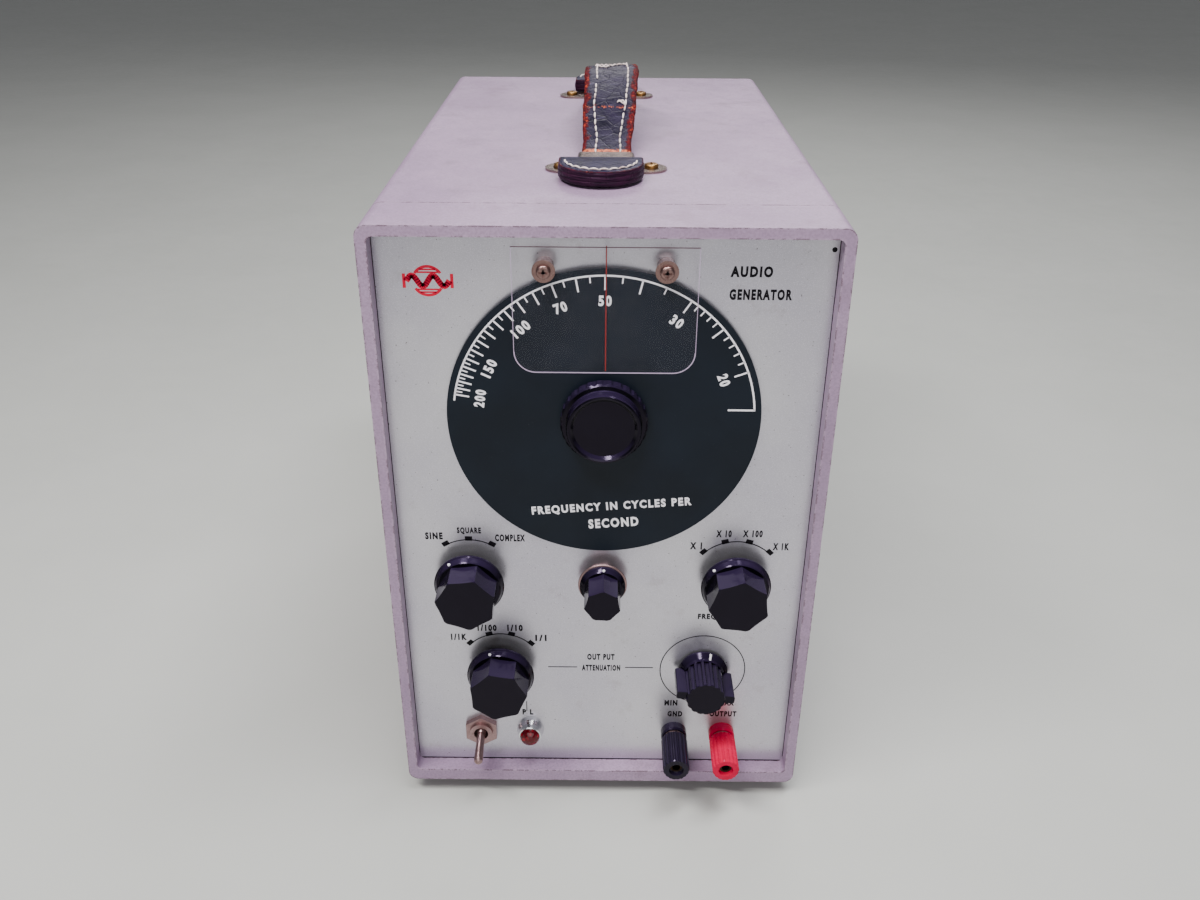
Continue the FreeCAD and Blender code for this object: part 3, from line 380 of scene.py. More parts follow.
def leather(name, faces, edge_from_mm, edge_to_mm, wander_mm, band=None, side=False):
    """Slate-grey leather with fine grain, rubbed through to rust-brown fibre at its edges."""
    hide = Finish(name, Specular_Ior_Level=0.16, Specular_Tint=(0.86, 0.74, 1.0, 1))
    dark, light = faces
    patch = hide.noise(7, 6.0, 0.65)
    base = hide.blend(hide.between(patch, 0.3, 0.7), linear(*dark), linear(*light))
    scuff = hide.between(hide.noise(5, 7.0, 0.75, hide.stretched(0.6, 1.6, 1)), 0.56, 0.68, 0.0, 0.8)
    base = hide.blend(scuff, base, linear(84, 78, 98))
    crack = hide.between(hide.cells(9, "DISTANCE_TO_EDGE"), 0.0, 0.05, 0.55, 0.0)
    base = hide.blend(crack, base, linear(22, 18, 28))
    offset = hide.add("ShaderNodeAttribute", attribute_name="edge_distance").outputs["Fac"]
    wander = hide.between(hide.noise(6, 6.0, 0.7), 0.25, 0.75, -wander_mm * MM, wander_mm * MM)
    ragged = hide.combine("ADD", offset, wander)
    rust_share = hide.between(ragged, edge_from_mm * MM, edge_to_mm * MM, 1.0, 0.0)
    fibre = hide.noise(1.3, 4.0, 0.7, hide.stretched(1, 0.5, 1))
    base = hide.blend(rust_share, base, rust_fibre(hide, fibre))
    if band is not None:
        base = torn_band(hide, base, fibre, band)
    if side:
        base = stacked_rim(hide, base)
    hide.colour(base)
    shine = hide.between(patch, 0.3, 0.7, 0.34, 0.52)
    hide.rough(hide.combine("ADD", shine, hide.combine("MULTIPLY", rust_share, 0.3)))
    hide.bump(hide.cells(1.1), 0.12, 0.5)
    hide.bump(hide.noise(4.5, 5.0, 0.6), 0.9, 0.5)
    hide.bump(hide.combine("SUBTRACT", 1.0, crack), 0.4, 0.6)
    hide.bump(hide.combine("MULTIPLY", fibre, rust_share), 0.6, 0.9)
    return hide.material


def thread():
    """Waxed off-white thread, grubby in places."""
    cotton = Finish("thread", Sheen_Weight=0.3, Specular_Ior_Level=0.3)
    cotton.colour(cotton.blend(cotton.between(cotton.noise(3, 5.0), 0.45, 0.75), linear(226, 210, 206),
                               linear(150, 122, 116)))
    cotton.rough(cotton.between(cotton.noise(2), 0.3, 0.7, 0.6, 0.8))
    cotton.bump(cotton.noise(0.3, 3.0, 0.5, cotton.stretched(1, 0.4, 1)), 0.05, 0.6)
    return cotton.material


# Dark and light colour, roughness, and what else each finish asks for.
# For the moulded finishes, the last number is how strong the painted violet reflection on upward faces is.
MOULDED = {
    "knob_black": ((2, 2, 3), (4, 4, 6), 0.07, 0.22, 0.15),
    "post_black": ((8, 6, 12), (14, 11, 20), 0.14, 0.3, 0.08),
    "post_red": ((186, 0, 52), (204, 2, 66), 0.2, 0.14, 0.0),
}
PLATED = {
    "zinc_plate": ((150, 144, 138), (176, 171, 165), 0.34, (1, 6, 1), (120, 108, 96), 0.35),
    "nickel_plate": ((138, 110, 112), (178, 150, 148), 0.3, (1, 5, 5)),
    "chrome_plate": ((212, 212, 216), (232, 232, 236), 0.06, (1, 1, 1), (170, 165, 165), 0.25),
    "brass_turned": ((128, 92, 56), (176, 136, 82), 0.28, (1, 1, 6), (62, 42, 34), 0.8),
    "steel_plain": ((150, 148, 150), (184, 182, 184), 0.28, (6, 1, 6), (110, 92, 80), 0.3),
    "aluminium_vane": ((186, 186, 190), (210, 210, 214), 0.32, (1, 8, 1), (150, 148, 146), 0.3),
    "cursor_nickel": ((112, 84, 82), (164, 134, 128), 0.22, (1, 5, 5), (70, 48, 44), 0.6),
    "bracket_nickel": ((118, 102, 96), (164, 146, 138), 0.22, (1, 5, 1)),
    # The studs sit in the posts' bores; their brass is darkened, partly tarnish and partly painted shade of
    # the bore.
    "stud_brass_tarnish_and_shade": ((44, 34, 30), (84, 68, 56), 0.4, (1, 1, 6), (40, 28, 24), 0.8),
}
FINISHES = {
    "case_paint": case_enamel(),
    "panel_metal": panel_enamel(),
    "dial_black": dial_black(),
    "black_rubber": soft_black("black_rubber", 22, 0.62, 0.5),
    "lamination_steel": layered("lamination_steel", (34, 30, 32), (62, 56, 56), (1, 14, 1), 0.4),
    "winding_paper": layered("winding_paper", (148, 108, 58), (188, 148, 92), (1, 1, 7), 0.5),
    "phenolic_board": layered("phenolic_board", (78, 44, 26), (112, 66, 38), (1, 1, 9), 0.42),
    "clear_acrylic": clear_sheet(),
    "tube_glass": tube_glass(),
    "red_lens": lens_red(),
}

for name, look in MOULDED.items():
    FINISHES[name] = phenolic(name, *look)
for name, look in PLATED.items():
    FINISHES[name] = plated(name, *look)

# Nodes whose finish isn't the one of their slot.
NODE_FINISHES = {
    "cursor_screws": "cursor_nickel",
    "cursor_spacers": "cursor_nickel",
    "handle_brackets": "bracket_nickel",
    "post_studs": "stud_brass_tarnish_and_shade",
}

for part in frame["record"]["subparts"]:
    finish = FINISHES.get(NODE_FINISHES.get(part["node"], part["material_slot"]))
    if finish is not None:
        slots = nodes[part["node"]].data.materials
        slots.clear()
        slots.append(finish)


# -------- mesh helpers

LETTER_STEPS = 3
LETTER_SPACING = 1.3


def add_piece(name, shape, material, body, smooth=True):
    """Turns a bmesh into an object that rides on a body."""
    mesh = bpy.data.meshes.new(name)
    bmesh.ops.recalc_face_normals(shape, faces=shape.faces)
    shape.to_mesh(mesh)
    shape.free()
    made = bpy.data.objects.new(name, mesh)
    bpy.context.scene.collection.objects.link(made)
    mesh.materials.append(material)
    for face in mesh.polygons:
        face.use_smooth = smooth
    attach(made, body)
    return made


def skin(shape, rows, closed=True):
    """Faces between each row of points and the next; a closed row joins its last point to its first."""
    for first, second in zip(rows, rows[1:]):
        count = len(first)
        for index in range(count if closed else count - 1):
            after = (index + 1) % count
            shape.faces.new((first[index], first[after], second[after], second[index]))


def flat_letters(words, bold):
    """The words as a flat mesh in the built-in font."""
    curve = bpy.data.curves.new("lettering", "FONT")
    curve.body = words
    curve.size = 1.0
    curve.offset = bold
    curve.resolution_u = LETTER_STEPS
    curve.space_character = LETTER_SPACING
    holder = bpy.data.objects.new("lettering", curve)
    bpy.context.scene.collection.objects.link(holder)
    bpy.context.view_layer.update()
    flat = bpy.data.meshes.new_from_object(holder.evaluated_get(bpy.context.evaluated_depsgraph_get()))
    bpy.data.objects.remove(holder)
    bpy.data.curves.remove(curve)
    return flat


class Artwork:
    """Thin printed artwork on an upright plane that faces the front, gathered into one mesh."""

    THICKNESS = 0.05 * MM
    SINK = 0.02 * MM

    def __init__(self, plane_y, origin_x, origin_z):
        self.shape = bmesh.new()
        self.plane_y = plane_y
        self.origin = Vector((origin_x, 0, origin_z))

    def point(self, x, z, out=0.0):
        """A point given in mm from the origin, on the plane or a little in front of it."""
        return Vector((self.origin.x + x * MM, self.plane_y - out, self.origin.z + z * MM))

    def patch(self, outline):
        """A flat polygon with a little thickness, from (x, z) corners in mm."""
        front = [self.shape.verts.new(self.point(x, z, self.THICKNESS)) for x, z in outline]
        back = [self.shape.verts.new(self.point(x, z, -self.SINK)) for x, z in outline]
        self.shape.faces.new(front)
        count = len(outline)
        for index in range(count):
            after = (index + 1) % count
            self.shape.faces.new((front[index], back[index], back[after], front[after]))

    def bar(self, x, z, length, width, angle=0.0):
        """A straight mark centred at (x, z); angle 0 lies along x."""
        turn = math.radians(angle)
        along = (math.cos(turn) * length / 2, math.sin(turn) * length / 2)
        aside = (-math.sin(turn) * width / 2, math.cos(turn) * width / 2)
        corners = ((-1, -1), (1, -1), (1, 1), (-1, 1))
        self.patch([(x + a * along[0] + b * aside[0], z + a * along[1] + b * aside[1]) for a, b in corners])

    def ray(self, radius_in, radius_out, angle, width, x=0.0, z=0.0):
        """A mark that points at (x, z), at an angle counted from +x towards +z."""
        middle = (radius_in + radius_out) / 2
        turn = math.radians(angle)
        at_x = x + middle * math.cos(turn)
        at_z = z + middle * math.sin(turn)
        self.bar(at_x, at_z, radius_out - radius_in, width, angle)

    def arc(self, radius, start, end, width, x=0.0, z=0.0, step=2.0):
        """A thin line along a circle, from one angle to another."""
        count = max(2, int(abs(end - start) / step))
        for index in range(count):
            first = math.radians(start + (end - start) * index / count)
            second = math.radians(start + (end - start) * (index + 1) / count)
            ring = [(radius - width / 2, first), (radius + width / 2, first),
                    (radius + width / 2, second), (radius - width / 2, second)]
            self.patch([(x + r * math.cos(a), z + r * math.sin(a)) for r, a in ring])

    def text(self, words, x, z, height, width, angle=0.0, bold=0.055):
        """Capitals of this height, squeezed to this total width, centred at (x, z), in mm."""
        flat = flat_letters(words, bold)
        xs = [vertex.co.x for vertex in flat.vertices]
        ys = [vertex.co.y for vertex in flat.vertices]
        scale = (width / (max(xs) - min(xs)), height / (max(ys) - min(ys)))
        middle = ((max(xs) + min(xs)) / 2, (max(ys) + min(ys)) / 2)
        turn = math.radians(angle)
        letters = bmesh.new()
        letters.from_mesh(flat)
        bmesh.ops.remove_doubles(letters, verts=letters.verts, dist=1e-5)
        for vertex in letters.verts:
            across = (vertex.co.x - middle[0]) * scale[0]
            up = (vertex.co.y - middle[1]) * scale[1]
            vertex.co = self.point(x + across * math.cos(turn) - up * math.sin(turn),
                                   z + across * math.sin(turn) + up * math.cos(turn), -self.SINK)
        raised = bmesh.ops.extrude_face_region(letters, geom=letters.faces[:])
        for item in raised["geom"]:
            if isinstance(item, bmesh.types.BMVert):
                item.co.y -= self.THICKNESS + self.SINK
        joined = bpy.data.meshes.new("letters")
        letters.to_mesh(joined)
        letters.free()
        self.shape.from_mesh(joined)
        bpy.data.meshes.remove(joined)
        bpy.data.meshes.remove(flat)

    def finish(self, name, material, body, slot):
        """Turns the gathered artwork into a piece that rides on a body."""
        return add_piece(name, self.shape, material, body, smooth=False)


# -------- printed panel

# Black ink for the print, also used for painted shade in gaps, recesses and a pinhole.
BLACK_INK_AND_SHADE = ink("panel_ink_and_shade", (10, 6, 14), (92, 84, 92), 0.74)
RED_INK = ink("emblem_ink", (196, 14, 52), (206, 120, 146), 0.68)
WHITE_INK = ink("dial_ink", (242, 238, 244), (150, 150, 158), 0.74)

LETTER_HEIGHT = 3.9

# The rim's inner edges: the lower one above the case's foot, the side ones from the middle.
LIP_TOP = 6.7
LIP_SIDE = 95.3

# Radius of the arc, angles of its marks clockwise from the top, words with x and z from the knob, width.
KNOB_MARKS = {
    "waveform_knob": (21.7, (-30, 0, 30), (("SINE", -16.1, 23.1, 8.2), ("SQUARE", 0.4, 26.0, 11.2),
                                           ("COMPLEX", 19.4, 22.3, 14.0))),
    "range_knob": (21.9, (-45, -15, 15, 45), (("X 1", -19.2, 18.8, 5.6), ("X 10", -6.5, 25.6, 7.2),
                                              ("X 100", 6.9, 25.7, 9.2), ("X 1K", 20.6, 18.7, 7.6))),
    "attenuator_knob": (21.2, (-45, -15, 15, 45), (("1/1K", -20.5, 18.5, 7.8), ("1/100", -6.4, 24.2, 9.4),
                                                   ("1/10", 7.3, 24.3, 7.6), ("1/1", 19.9, 18.3, 5.6))),
}


# Words, x from the middle, z from the case's foot, height, width.
PANEL_WORDS = (
    ("FREQUENCY", 57.5, 100, 3.8, 22),
    ("OUT PUT", -0.5, 74.8, 3.8, 13.6),
    ("ATTENUATION", -0.4, 67.9, 3.8, 19.2),
    ("MIN", 35.4, 45.6, 3.6, 6.6),
    ("MAX", 63.9, 45.9, 3.6, 7.4),
    ("GND", 37.7, 38.3, 3.6, 7.6),
    ("OUTPUT", 62.3, 38.6, 3.6, 13.8),
    ("P L", -37.7, 38.7, 3.6, 5.6),
    ("AUDIO", 60.1, 275.1, 4.8, 17.4),
    ("GENERATOR", 64.5, 265.2, 4.8, 26),
)

# Middle x and z, length, width and angle of the plain lines.
PANEL_LINES = ((-19.6, 68.3, 14.5, 0.5, 0), (18.6, 68.3, 14, 0.5, 0), (-38.2, 42.6, 6.4, 0.45, 90))


def panel_print():
    """The printed words, arcs and marks of the panel."""
    print_black = Artwork(PANEL_FACE, 0, CASE_FOOT)
    for knob, (radius, marks, labels) in KNOB_MARKS.items():
        at_x = centre(knob).x / MM
        at_z = (centre(knob).z - CASE_FOOT) / MM
        for mark in marks:
            print_black.ray(radius - 1.1, radius + 1.3, 90 - mark, 3.4, at_x, at_z)
        print_black.arc(radius - 0.6, 90 - marks[0], 90 - marks[-1], 0.55, at_x, at_z)
        for words, x, z, width in labels:
            print_black.text(words, at_x + x, at_z + z, LETTER_HEIGHT, width)
    level_x = centre("level_knob").x / MM
    level_z = (centre("level_knob").z - CASE_FOOT) / MM
    print_black.arc(21.15, 0, 360, 0.5, level_x, level_z)
    for words in PANEL_WORDS:
        print_black.text(*words)
    for line in PANEL_LINES:
        print_black.bar(*line)
    print_black.finish("panel_lettering", BLACK_INK_AND_SHADE, "cabinet", "panel_metal")


def emblem():
    """A bold sine wave between two bars, over a ruled globe."""
    print_red = Artwork(PANEL_FACE, 0, CASE_FOOT)
    middle_x, middle_z = -73.1, 270.1
    for start, end in ((32, 148), (212, 328)):
        print_red.arc(6.2, start, end, 1.2, middle_x, middle_z)
    for rise, reach in ((4.9, 6.4), (-4.9, 6.4), (3.7, 8.6), (-3.7, 8.6)):
        print_red.bar(middle_x, middle_z + rise, reach, 0.7)
    for side in (-1, 1):
        print_red.bar(middle_x + side * 9.9, middle_z, 6.2, 1.3, 90)
    steps, half_length, swing = 30, 8.8, 2.3
    for index in range(steps):
        x = half_length * (2 * (index + 0.5) / steps - 1)
        phase = 2 * math.pi * x / half_length
        slope = math.atan(swing * 2 * math.pi / half_length * math.cos(phase))
        reach = 2 * half_length / steps / math.cos(slope) + 0.5
        print_red.bar(middle_x + x, middle_z + swing * math.sin(phase), reach, 2.5, math.degrees(slope))
    print_red.finish("panel_emblem", RED_INK, "cabinet", "panel_metal")
    # Painted shade: a black dot printed for a small hole in the panel.
    pinhole_shade = Artwork(PANEL_FACE, 0, CASE_FOOT)
    pinhole_shade.arc(0.55, 0, 360, 1.1, 93, 284.7, 30)
    pinhole_shade.finish("panel_pinhole_shade", BLACK_INK_AND_SHADE, "cabinet", "panel_metal")


DIAL_NUMBERS = (20, 30, 50, 70, 100, 150, 200)
DIAL_ANGLES = {18: 9.5, 20: 20.4, 30: 56.7, 40: 76.2, 50: 90, 70: 109.8, 100: 130.1, 150: 154.3, 200: 170}
DIAL_ARC = 65.5
DIAL_ARC_START, DIAL_ARC_END = 4.2, 172.6
DIAL_NUMBER_RADIUS = 54.6
DIAL_NUMBER_HEIGHT = 4.7
DIAL_DIGIT_WIDTH = 2.75
DIAL_WORD_HEIGHT = 5.0
DIAL_WORD_ANGLE = 4.6
DIAL_BOLD = 0.045


def dial_angle(value):
    """Angle of a dial reading, spread evenly by ratio between the readings whose angles are known."""
    known = list(DIAL_ANGLES.items())
    for (low, low_angle), (high, high_angle) in zip(known, known[1:]):
        if value <= high:
            share = math.log(value / low) / math.log(high / low)
            return low_angle + (high_angle - low_angle) * share
    return known[-1][1]


def dial_print():
    """The scale, numbers and words printed on the dial."""
    print_white = Artwork(DIAL_FACE, DIAL_AXIS.x, DIAL_AXIS.z)
    print_white.arc(DIAL_ARC, DIAL_ARC_START, DIAL_ARC_END, 0.8)
    turn = math.radians(DIAL_ARC_START)
    print_white.bar(DIAL_ARC * math.cos(turn) - 5.6, DIAL_ARC * math.sin(turn), 12, 0.8)
    readings = [(value, value % 5 == 0) for value in range(20, 30)]
    readings += [(value, value % 10 == 0) for value in range(30, 100, 5)]
    readings += [(value, True) for value in range(100, 201, 10)]
    readings += [(value, False) for value in range(105, 196, 10)]
    for value, major in readings:
        length, width = (6.2, 0.75) if major else (3.0, 0.6)
        print_white.ray(DIAL_ARC - length, DIAL_ARC, dial_angle(value), width)
    for number in DIAL_NUMBERS:
        digits = str(number)
        angle = DIAL_ANGLES[number]
        x = DIAL_NUMBER_RADIUS * math.cos(math.radians(angle))
        z = DIAL_NUMBER_RADIUS * math.sin(math.radians(angle))
        width = DIAL_DIGIT_WIDTH * len(digits)
        print_white.text(digits, x, z, DIAL_NUMBER_HEIGHT, width, angle - 90, DIAL_BOLD)
    for words, x, z, width in (("FREQUENCY IN CYCLES PER", 3.7, -44.6, 73), ("SECOND", 4.7, -53.2, 23)):
        print_white.text(words, x, z, DIAL_WORD_HEIGHT, width, DIAL_WORD_ANGLE, DIAL_BOLD)
    print_white.finish("dial_scale", WHITE_INK, "dial", "dial_black")


def panel_gap():
    """Painted shadow in the gaps where the panel meets the rim, along its foot and up its sides."""
    shadow = Artwork(PANEL_FACE, 0, CASE_FOOT)
    foot_gap, side_gap = 0.7, 0.3
    shadow.bar(0, LIP_TOP + foot_gap / 2, 2 * LIP_SIDE, foot_gap)
    for side in (-1, 1):
        shadow.bar(side * (LIP_SIDE - side_gap / 2), 150, 280, side_gap, 90)
    shadow.finish("panel_gap_shadow", BLACK_INK_AND_SHADE, "cabinet", "panel_metal")


panel_print()
emblem()
dial_print()
panel_gap()


# -------- cursor

def hairline():
    """The dark red line down the back of the clear plate."""
    low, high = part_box("cursor_plate")
    line = Artwork(high.y + 0.03 * MM, 0.4 * MM, 0)
    middle = (low.z + high.z) / 2 / MM
    line.bar(0, middle, (high.z - low.z) / MM - 0.4, 0.45, 90)
    red_line = ink("hairline_ink", (132, 40, 36), (120, 60, 50), 0.8)
    line.finish("cursor_hairline", red_line, "cabinet", "clear_acrylic")


def cursor_edge():
    """Painted highlight along the clear plate's cut edge, round its sides and foot, and painted shade along
    its top.
    """
    low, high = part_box("cursor_plate")
    radius, width = 9.5, 0.45
    left, right, foot, top = low.x / MM, high.x / MM, low.z / MM, high.z / MM
    # Painted highlight: light lines along the plate's foot, rounded corners and sides.
    edge = Artwork(low.y, 0, 0)
    edge.bar((left + right) / 2, foot + width / 2, right - left - 2 * radius, width)
    for side, corner, start in ((-1, left, 180), (1, right, 270)):
        edge.arc(radius - width / 2, start, start + 90, width, corner - side * radius, foot + radius, 6)
        edge.bar(corner - side * width * 0.3, (foot + radius + top) / 2, top - foot - radius, width * 0.6, 90)
    # Painted shade: a dark line along the plate's top.
    shade = Artwork(low.y, 0, 0)
    shade.bar((left + right) / 2, top - 0.25, right - left, 0.4)
    shade.finish("cursor_top_edge_shade", ink("top_edge_shade", (84, 56, 66), (110, 88, 98)), "cabinet", "clear_acrylic")
    # Light ink for the painted edge highlight.
    shine = ink("cut_edge_highlight", (176, 158, 184), (120, 112, 136), 0.6)
    edge.finish("cursor_edge_highlight", shine, "cabinet", "clear_acrylic")


def cursor_crosses():
    """Painted shade on the floor of the cross recess in each of the cursor's two screws."""
    low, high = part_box("cursor_screws")
    shadow = Artwork(low.y + 0.55 * MM, 0, 0)
    reach = (high.z - low.z) / 2 / MM
    for x in (low.x / MM + reach, high.x / MM - reach):
        for angle in (45, 135):
            shadow.bar(x, (low.z + high.z) / 2 / MM, 3.0, 0.8, angle)
    shadow.finish("cursor_screw_cross_shade", BLACK_INK_AND_SHADE, "cabinet", "nickel_plate")


hairline()
cursor_edge()
cursor_crosses()


# -------- knob marks

def dome(shape, at, radius, height):
    """A small round blob of paint that faces the front."""
    sides, rings = 14, 5
    rows = []
    for ring in range(rings):
        turn = math.pi / 2 * ring / rings
        reach = radius * math.cos(turn)
        rise = height * math.sin(turn)
        spins = [2 * math.pi * k / sides for k in range(sides)]
        rows.append([shape.verts.new(at + Vector((reach * math.cos(spin), -rise, reach * math.sin(spin))))
                     for spin in spins])
    tip = shape.verts.new(at + Vector((0, -height, 0)))
    skin(shape, rows)
    for k in range(sides):
        shape.faces.new((rows[-1][k], rows[-1][(k + 1) % sides], tip))
    shape.faces.new(rows[0])


# Knob, body, distance from the axis, seat in front of the knob's back, angle clockwise from the top.
KNOB_DOTS = (
    ("waveform_knob", "waveform_selector", 15.6, 3.0, -33),
    ("range_knob", "range_selector", 15.6, 3.0, -45),
    ("attenuator_knob", "attenuator_selector", 15.6, 3.0, -17),
    ("fine_tuning_knob", "vernier", 10.0, 2.4, 3),
)
DOT_RADIUS = 0.75
DOT_HEIGHT = 0.9


def knob_dots():
    """The white pointer dots on the skirts of the three selector knobs and the fine tuning knob."""
    for knob, body, radius, seat, clock in KNOB_DOTS:
        turn = math.radians(90 - clock)
        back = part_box(knob)[1].y
        at = centre(knob) + mm(radius * math.cos(turn), 0, radius * math.sin(turn))
        at.y = back - seat * MM
        shape = bmesh.new()
        dome(shape, at, DOT_RADIUS * MM, DOT_HEIGHT * MM)
        add_piece(f"{knob}_dot", shape, WHITE_INK, body)


LEVEL_CLOCK = 17


def level_index():
    """The white line on the level knob's skirt."""
    shape = bmesh.new()
    turn = math.radians(90 - LEVEL_CLOCK)
    out = Vector((math.cos(turn), 0, math.sin(turn)))
    side = Vector((-math.sin(turn), 0, math.cos(turn)))
    axis = Vector((centre("level_knob").x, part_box("level_knob")[1].y, centre("level_knob").z))
    ends = ((10.2, 3.7), (11.3, 2.4), (12.25, 1.3))
    rows = []
    for reach, rise in ends:
        at = axis + out * reach * MM
        at.y -= (rise + 0.12) * MM
        rows.append([shape.verts.new(at + side * across * MM + Vector((0, drop * MM, 0)))
                     for across, drop in ((-0.6, 0.3), (-0.45, 0), (0.45, 0), (0.6, 0.3))])
    skin(shape, rows, closed=False)
    add_piece("level_knob_index", shape, WHITE_INK, "level_control")


def lathe(profile, at, sides=64):
    """A turned ring about an axis that runs front to back; profile is (radius, distance in front) in mm."""
    shape = bmesh.new()
    spins = [2 * math.pi * k / sides for k in range(sides)]
    rows = []
    for radius, out in profile:
        rows.append([shape.verts.new(at + mm(radius * math.cos(spin), -out, radius * math.sin(spin)))
                     for spin in spins])
    skin(shape, rows + rows[:1])
    return shape


def fine_knob_ring():
    """The plated washer that shows behind the fine tuning knob's skirt."""
    at = centre("fine_tuning_knob")
    at.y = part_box("fine_tuning_knob")[1].y
    profile = [(5.0, -1.1), (11.0, -1.1), (11.4, -0.9), (11.6, -0.55),
               (11.4, -0.2), (11.0, -0.05), (5.0, -0.05)]
    add_piece("fine_knob_washer", lathe(profile, at), FINISHES["nickel_plate"], "vernier")


knob_dots()
level_index()
fine_knob_ring()


# -------- handle

STRAP_STEPS = 120
STRAP_HALF_THICKNESS = 1.6
STRAP_LOW = 1.0
STRAP_MIDDLE = 1.8
STRAP_ARCH = 27.3
STRAP_END_HALF_WIDTH = 11.1
STRAP_SWELL = 2.9
STRAP_LEAN = 2.6
STRAP_ROLL = math.radians(2.5)
STRAP_ENDS = (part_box("handle_strap")[0].y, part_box("handle_strap")[1].y)

# Shares of the strap's length: its flat ends, and where the torn band and the crease lie and reach.
STRAP_FLAT = 0.055
TORN_AT, TORN_REACH = 0.08, 0.028
CREASE_AT, CREASE_REACH, CREASE_DEPTH = 0.27, 0.02, 0.62

STITCH_PITCH = 4.6
STITCH_RADIUS = 0.48
LOOSE_RADIUS = 0.42
MISSING_STITCHES = 0.05

TAB_TONGUE = 8.4
TAB_TUCK = 1.0
TAB_STITCH_INSET = 3.2
TAB_STITCH_LENGTH = 4.4
TAB_STITCH_RADIUS = 0.45

# Loose threads on the strap, each a run of (share of its length, offset across it in mm).
LOOSE_THREADS = (
    ((0.505, -8.6), (0.515, -6.2), (0.5, -4.0), (0.51, -1.8),
     (0.495, 0.4), (0.505, 2.8), (0.51, 5.4), (0.5, 8.0)),
    ((0.5, -7.5), (0.485, -5.2), (0.48, -3.0), (0.49, -1.0)),
    ((0.285, 3.8), (0.293, 5.6), (0.287, 7.4), (0.27, 8.0), (0.255, 7.6)),
    ((0.29, 4.6), (0.283, 6.4), (0.276, 7.6)),
)


def strap_rise(share):
    """Height of the strap's middle layer above the case top, in mm; flat in the saddles."""
    open_share = min(1.0, max(0.0, (share - STRAP_FLAT) / (1 - 2 * STRAP_FLAT)))
    arch = (0.5 - 0.5 * math.cos(2 * math.pi * open_share)) ** 0.8
    sag = math.sin(9 * math.pi * share) * math.sin(math.pi * open_share)
    return STRAP_LOW + STRAP_MIDDLE + STRAP_ARCH * arch + 0.25 * sag


def strap_half_width(share):
    """Half the strap's width in mm, widest at its middle and a little uneven."""
    swell = math.sin(math.pi * share)
    uneven = (0.25 * math.sin(31 * share), 0.15 * math.sin(73 * share))
    return STRAP_END_HALF_WIDTH + STRAP_SWELL * swell ** 1.3 + uneven[0] + uneven[1]


def strap_tear(share):
    """How torn the strap's upper layer is, from 0 to 1, at the band and at the fainter crease."""
    band = 1 - abs(share - TORN_AT) / TORN_REACH
    crease = CREASE_DEPTH - abs(share - CREASE_AT) / CREASE_REACH
    return max(0.0, band, crease)


def strap_frame(share):
    """A point of the strap's middle line in metres, and its across and upward directions."""
    def middle(at):
        at = min(1.0, max(0.0, at))
        y = STRAP_ENDS[0] + (STRAP_ENDS[1] - STRAP_ENDS[0]) * at
        lean = STRAP_LEAN * math.sin(math.pi * at) ** 2
        return Vector((lean * MM, y, CASE_TOP + strap_rise(at) * MM))
    step = 0.004
    along = (middle(share + step) - middle(share - step)).normalized()
    roll = STRAP_ROLL * math.sin(math.pi * share)
    across = Vector((math.cos(roll), 0, math.sin(roll)))
    across = (across - along * across.dot(along)).normalized()
    up = across.cross(along).normalized()
    return middle(share), across, up


def strap_point(share, offset_mm, lift_mm):
    """A point of the strap: offset across it from its middle line, lift above its middle layer."""
    at, across, up = strap_frame(share)
    wave = 0.22 * noise.noise(Vector((offset_mm * 0.16, share * 21, 3.7)))
    return at + across * offset_mm * MM + up * (lift_mm + wave) * MM


def strap_section(half_width):
    """(offset, lift) points round the strap's cross section, with rounded rims."""
    rim = STRAP_HALF_THICKNESS
    points = []
    for side in (1, -1):
        for index in range(9):
            offset = -half_width + rim + (2 * half_width - 2 * rim) * index / 8
            points.append((side * offset, side * rim))
        for index in range(1, 6):
            turn = side * math.pi / 2 - math.pi * index / 6
            points.append((side * (half_width - rim) + rim * math.cos(turn), rim * math.sin(turn)))
    return points


def strap_leather():
    """The strap's leather, with its distance from the edge and its tears written on its points."""
    shape = bmesh.new()
    edge_layer = shape.verts.layers.float.new("edge_distance")
    torn_layer = shape.verts.layers.float.new("torn")
    rings = []
    for step in range(STRAP_STEPS + 1):
        share = step / STRAP_STEPS
        half = strap_half_width(share)
        ring = []
        for offset, lift in strap_section(half):
            ragged = 1 + 0.02 * noise.noise(Vector((share * 60, offset, 1.0)))
            vertex = shape.verts.new(strap_point(share, offset * ragged, lift))
            vertex[edge_layer] = (half - abs(offset)) * MM
            vertex[torn_layer] = strap_tear(share)
            ring.append(vertex)
        rings.append(ring)
    skin(shape, rings)
    shape.faces.new(rings[0])
    shape.faces.new(rings[-1])
    return add_piece("strap_leather", shape, STRAP_HIDE, "cabinet")


def capsule(shape, start, end, radius, up):
    """A short thread run between two points, round in section and pinched at its ends."""
    along = end - start
    side = along.cross(up).normalized()
    over = side.cross(along).normalized()
    sides, rings = 8, 7
    made = []
    for ring in range(rings):
        share = ring / (rings - 1)
        bulge = math.sin(math.pi * min(1, max(0, 0.12 + 0.76 * share))) ** 0.5
        middle = start + along * share + over * radius * 0.9 * math.sin(math.pi * share)
        made.append([shape.verts.new(middle + (side * math.cos(2 * math.pi * k / sides)
                                               + over * math.sin(2 * math.pi * k / sides)) * radius * bulge)
                     for k in range(sides)])
    skin(shape, made)
    shape.faces.new(made[0])
    shape.faces.new(made[-1])


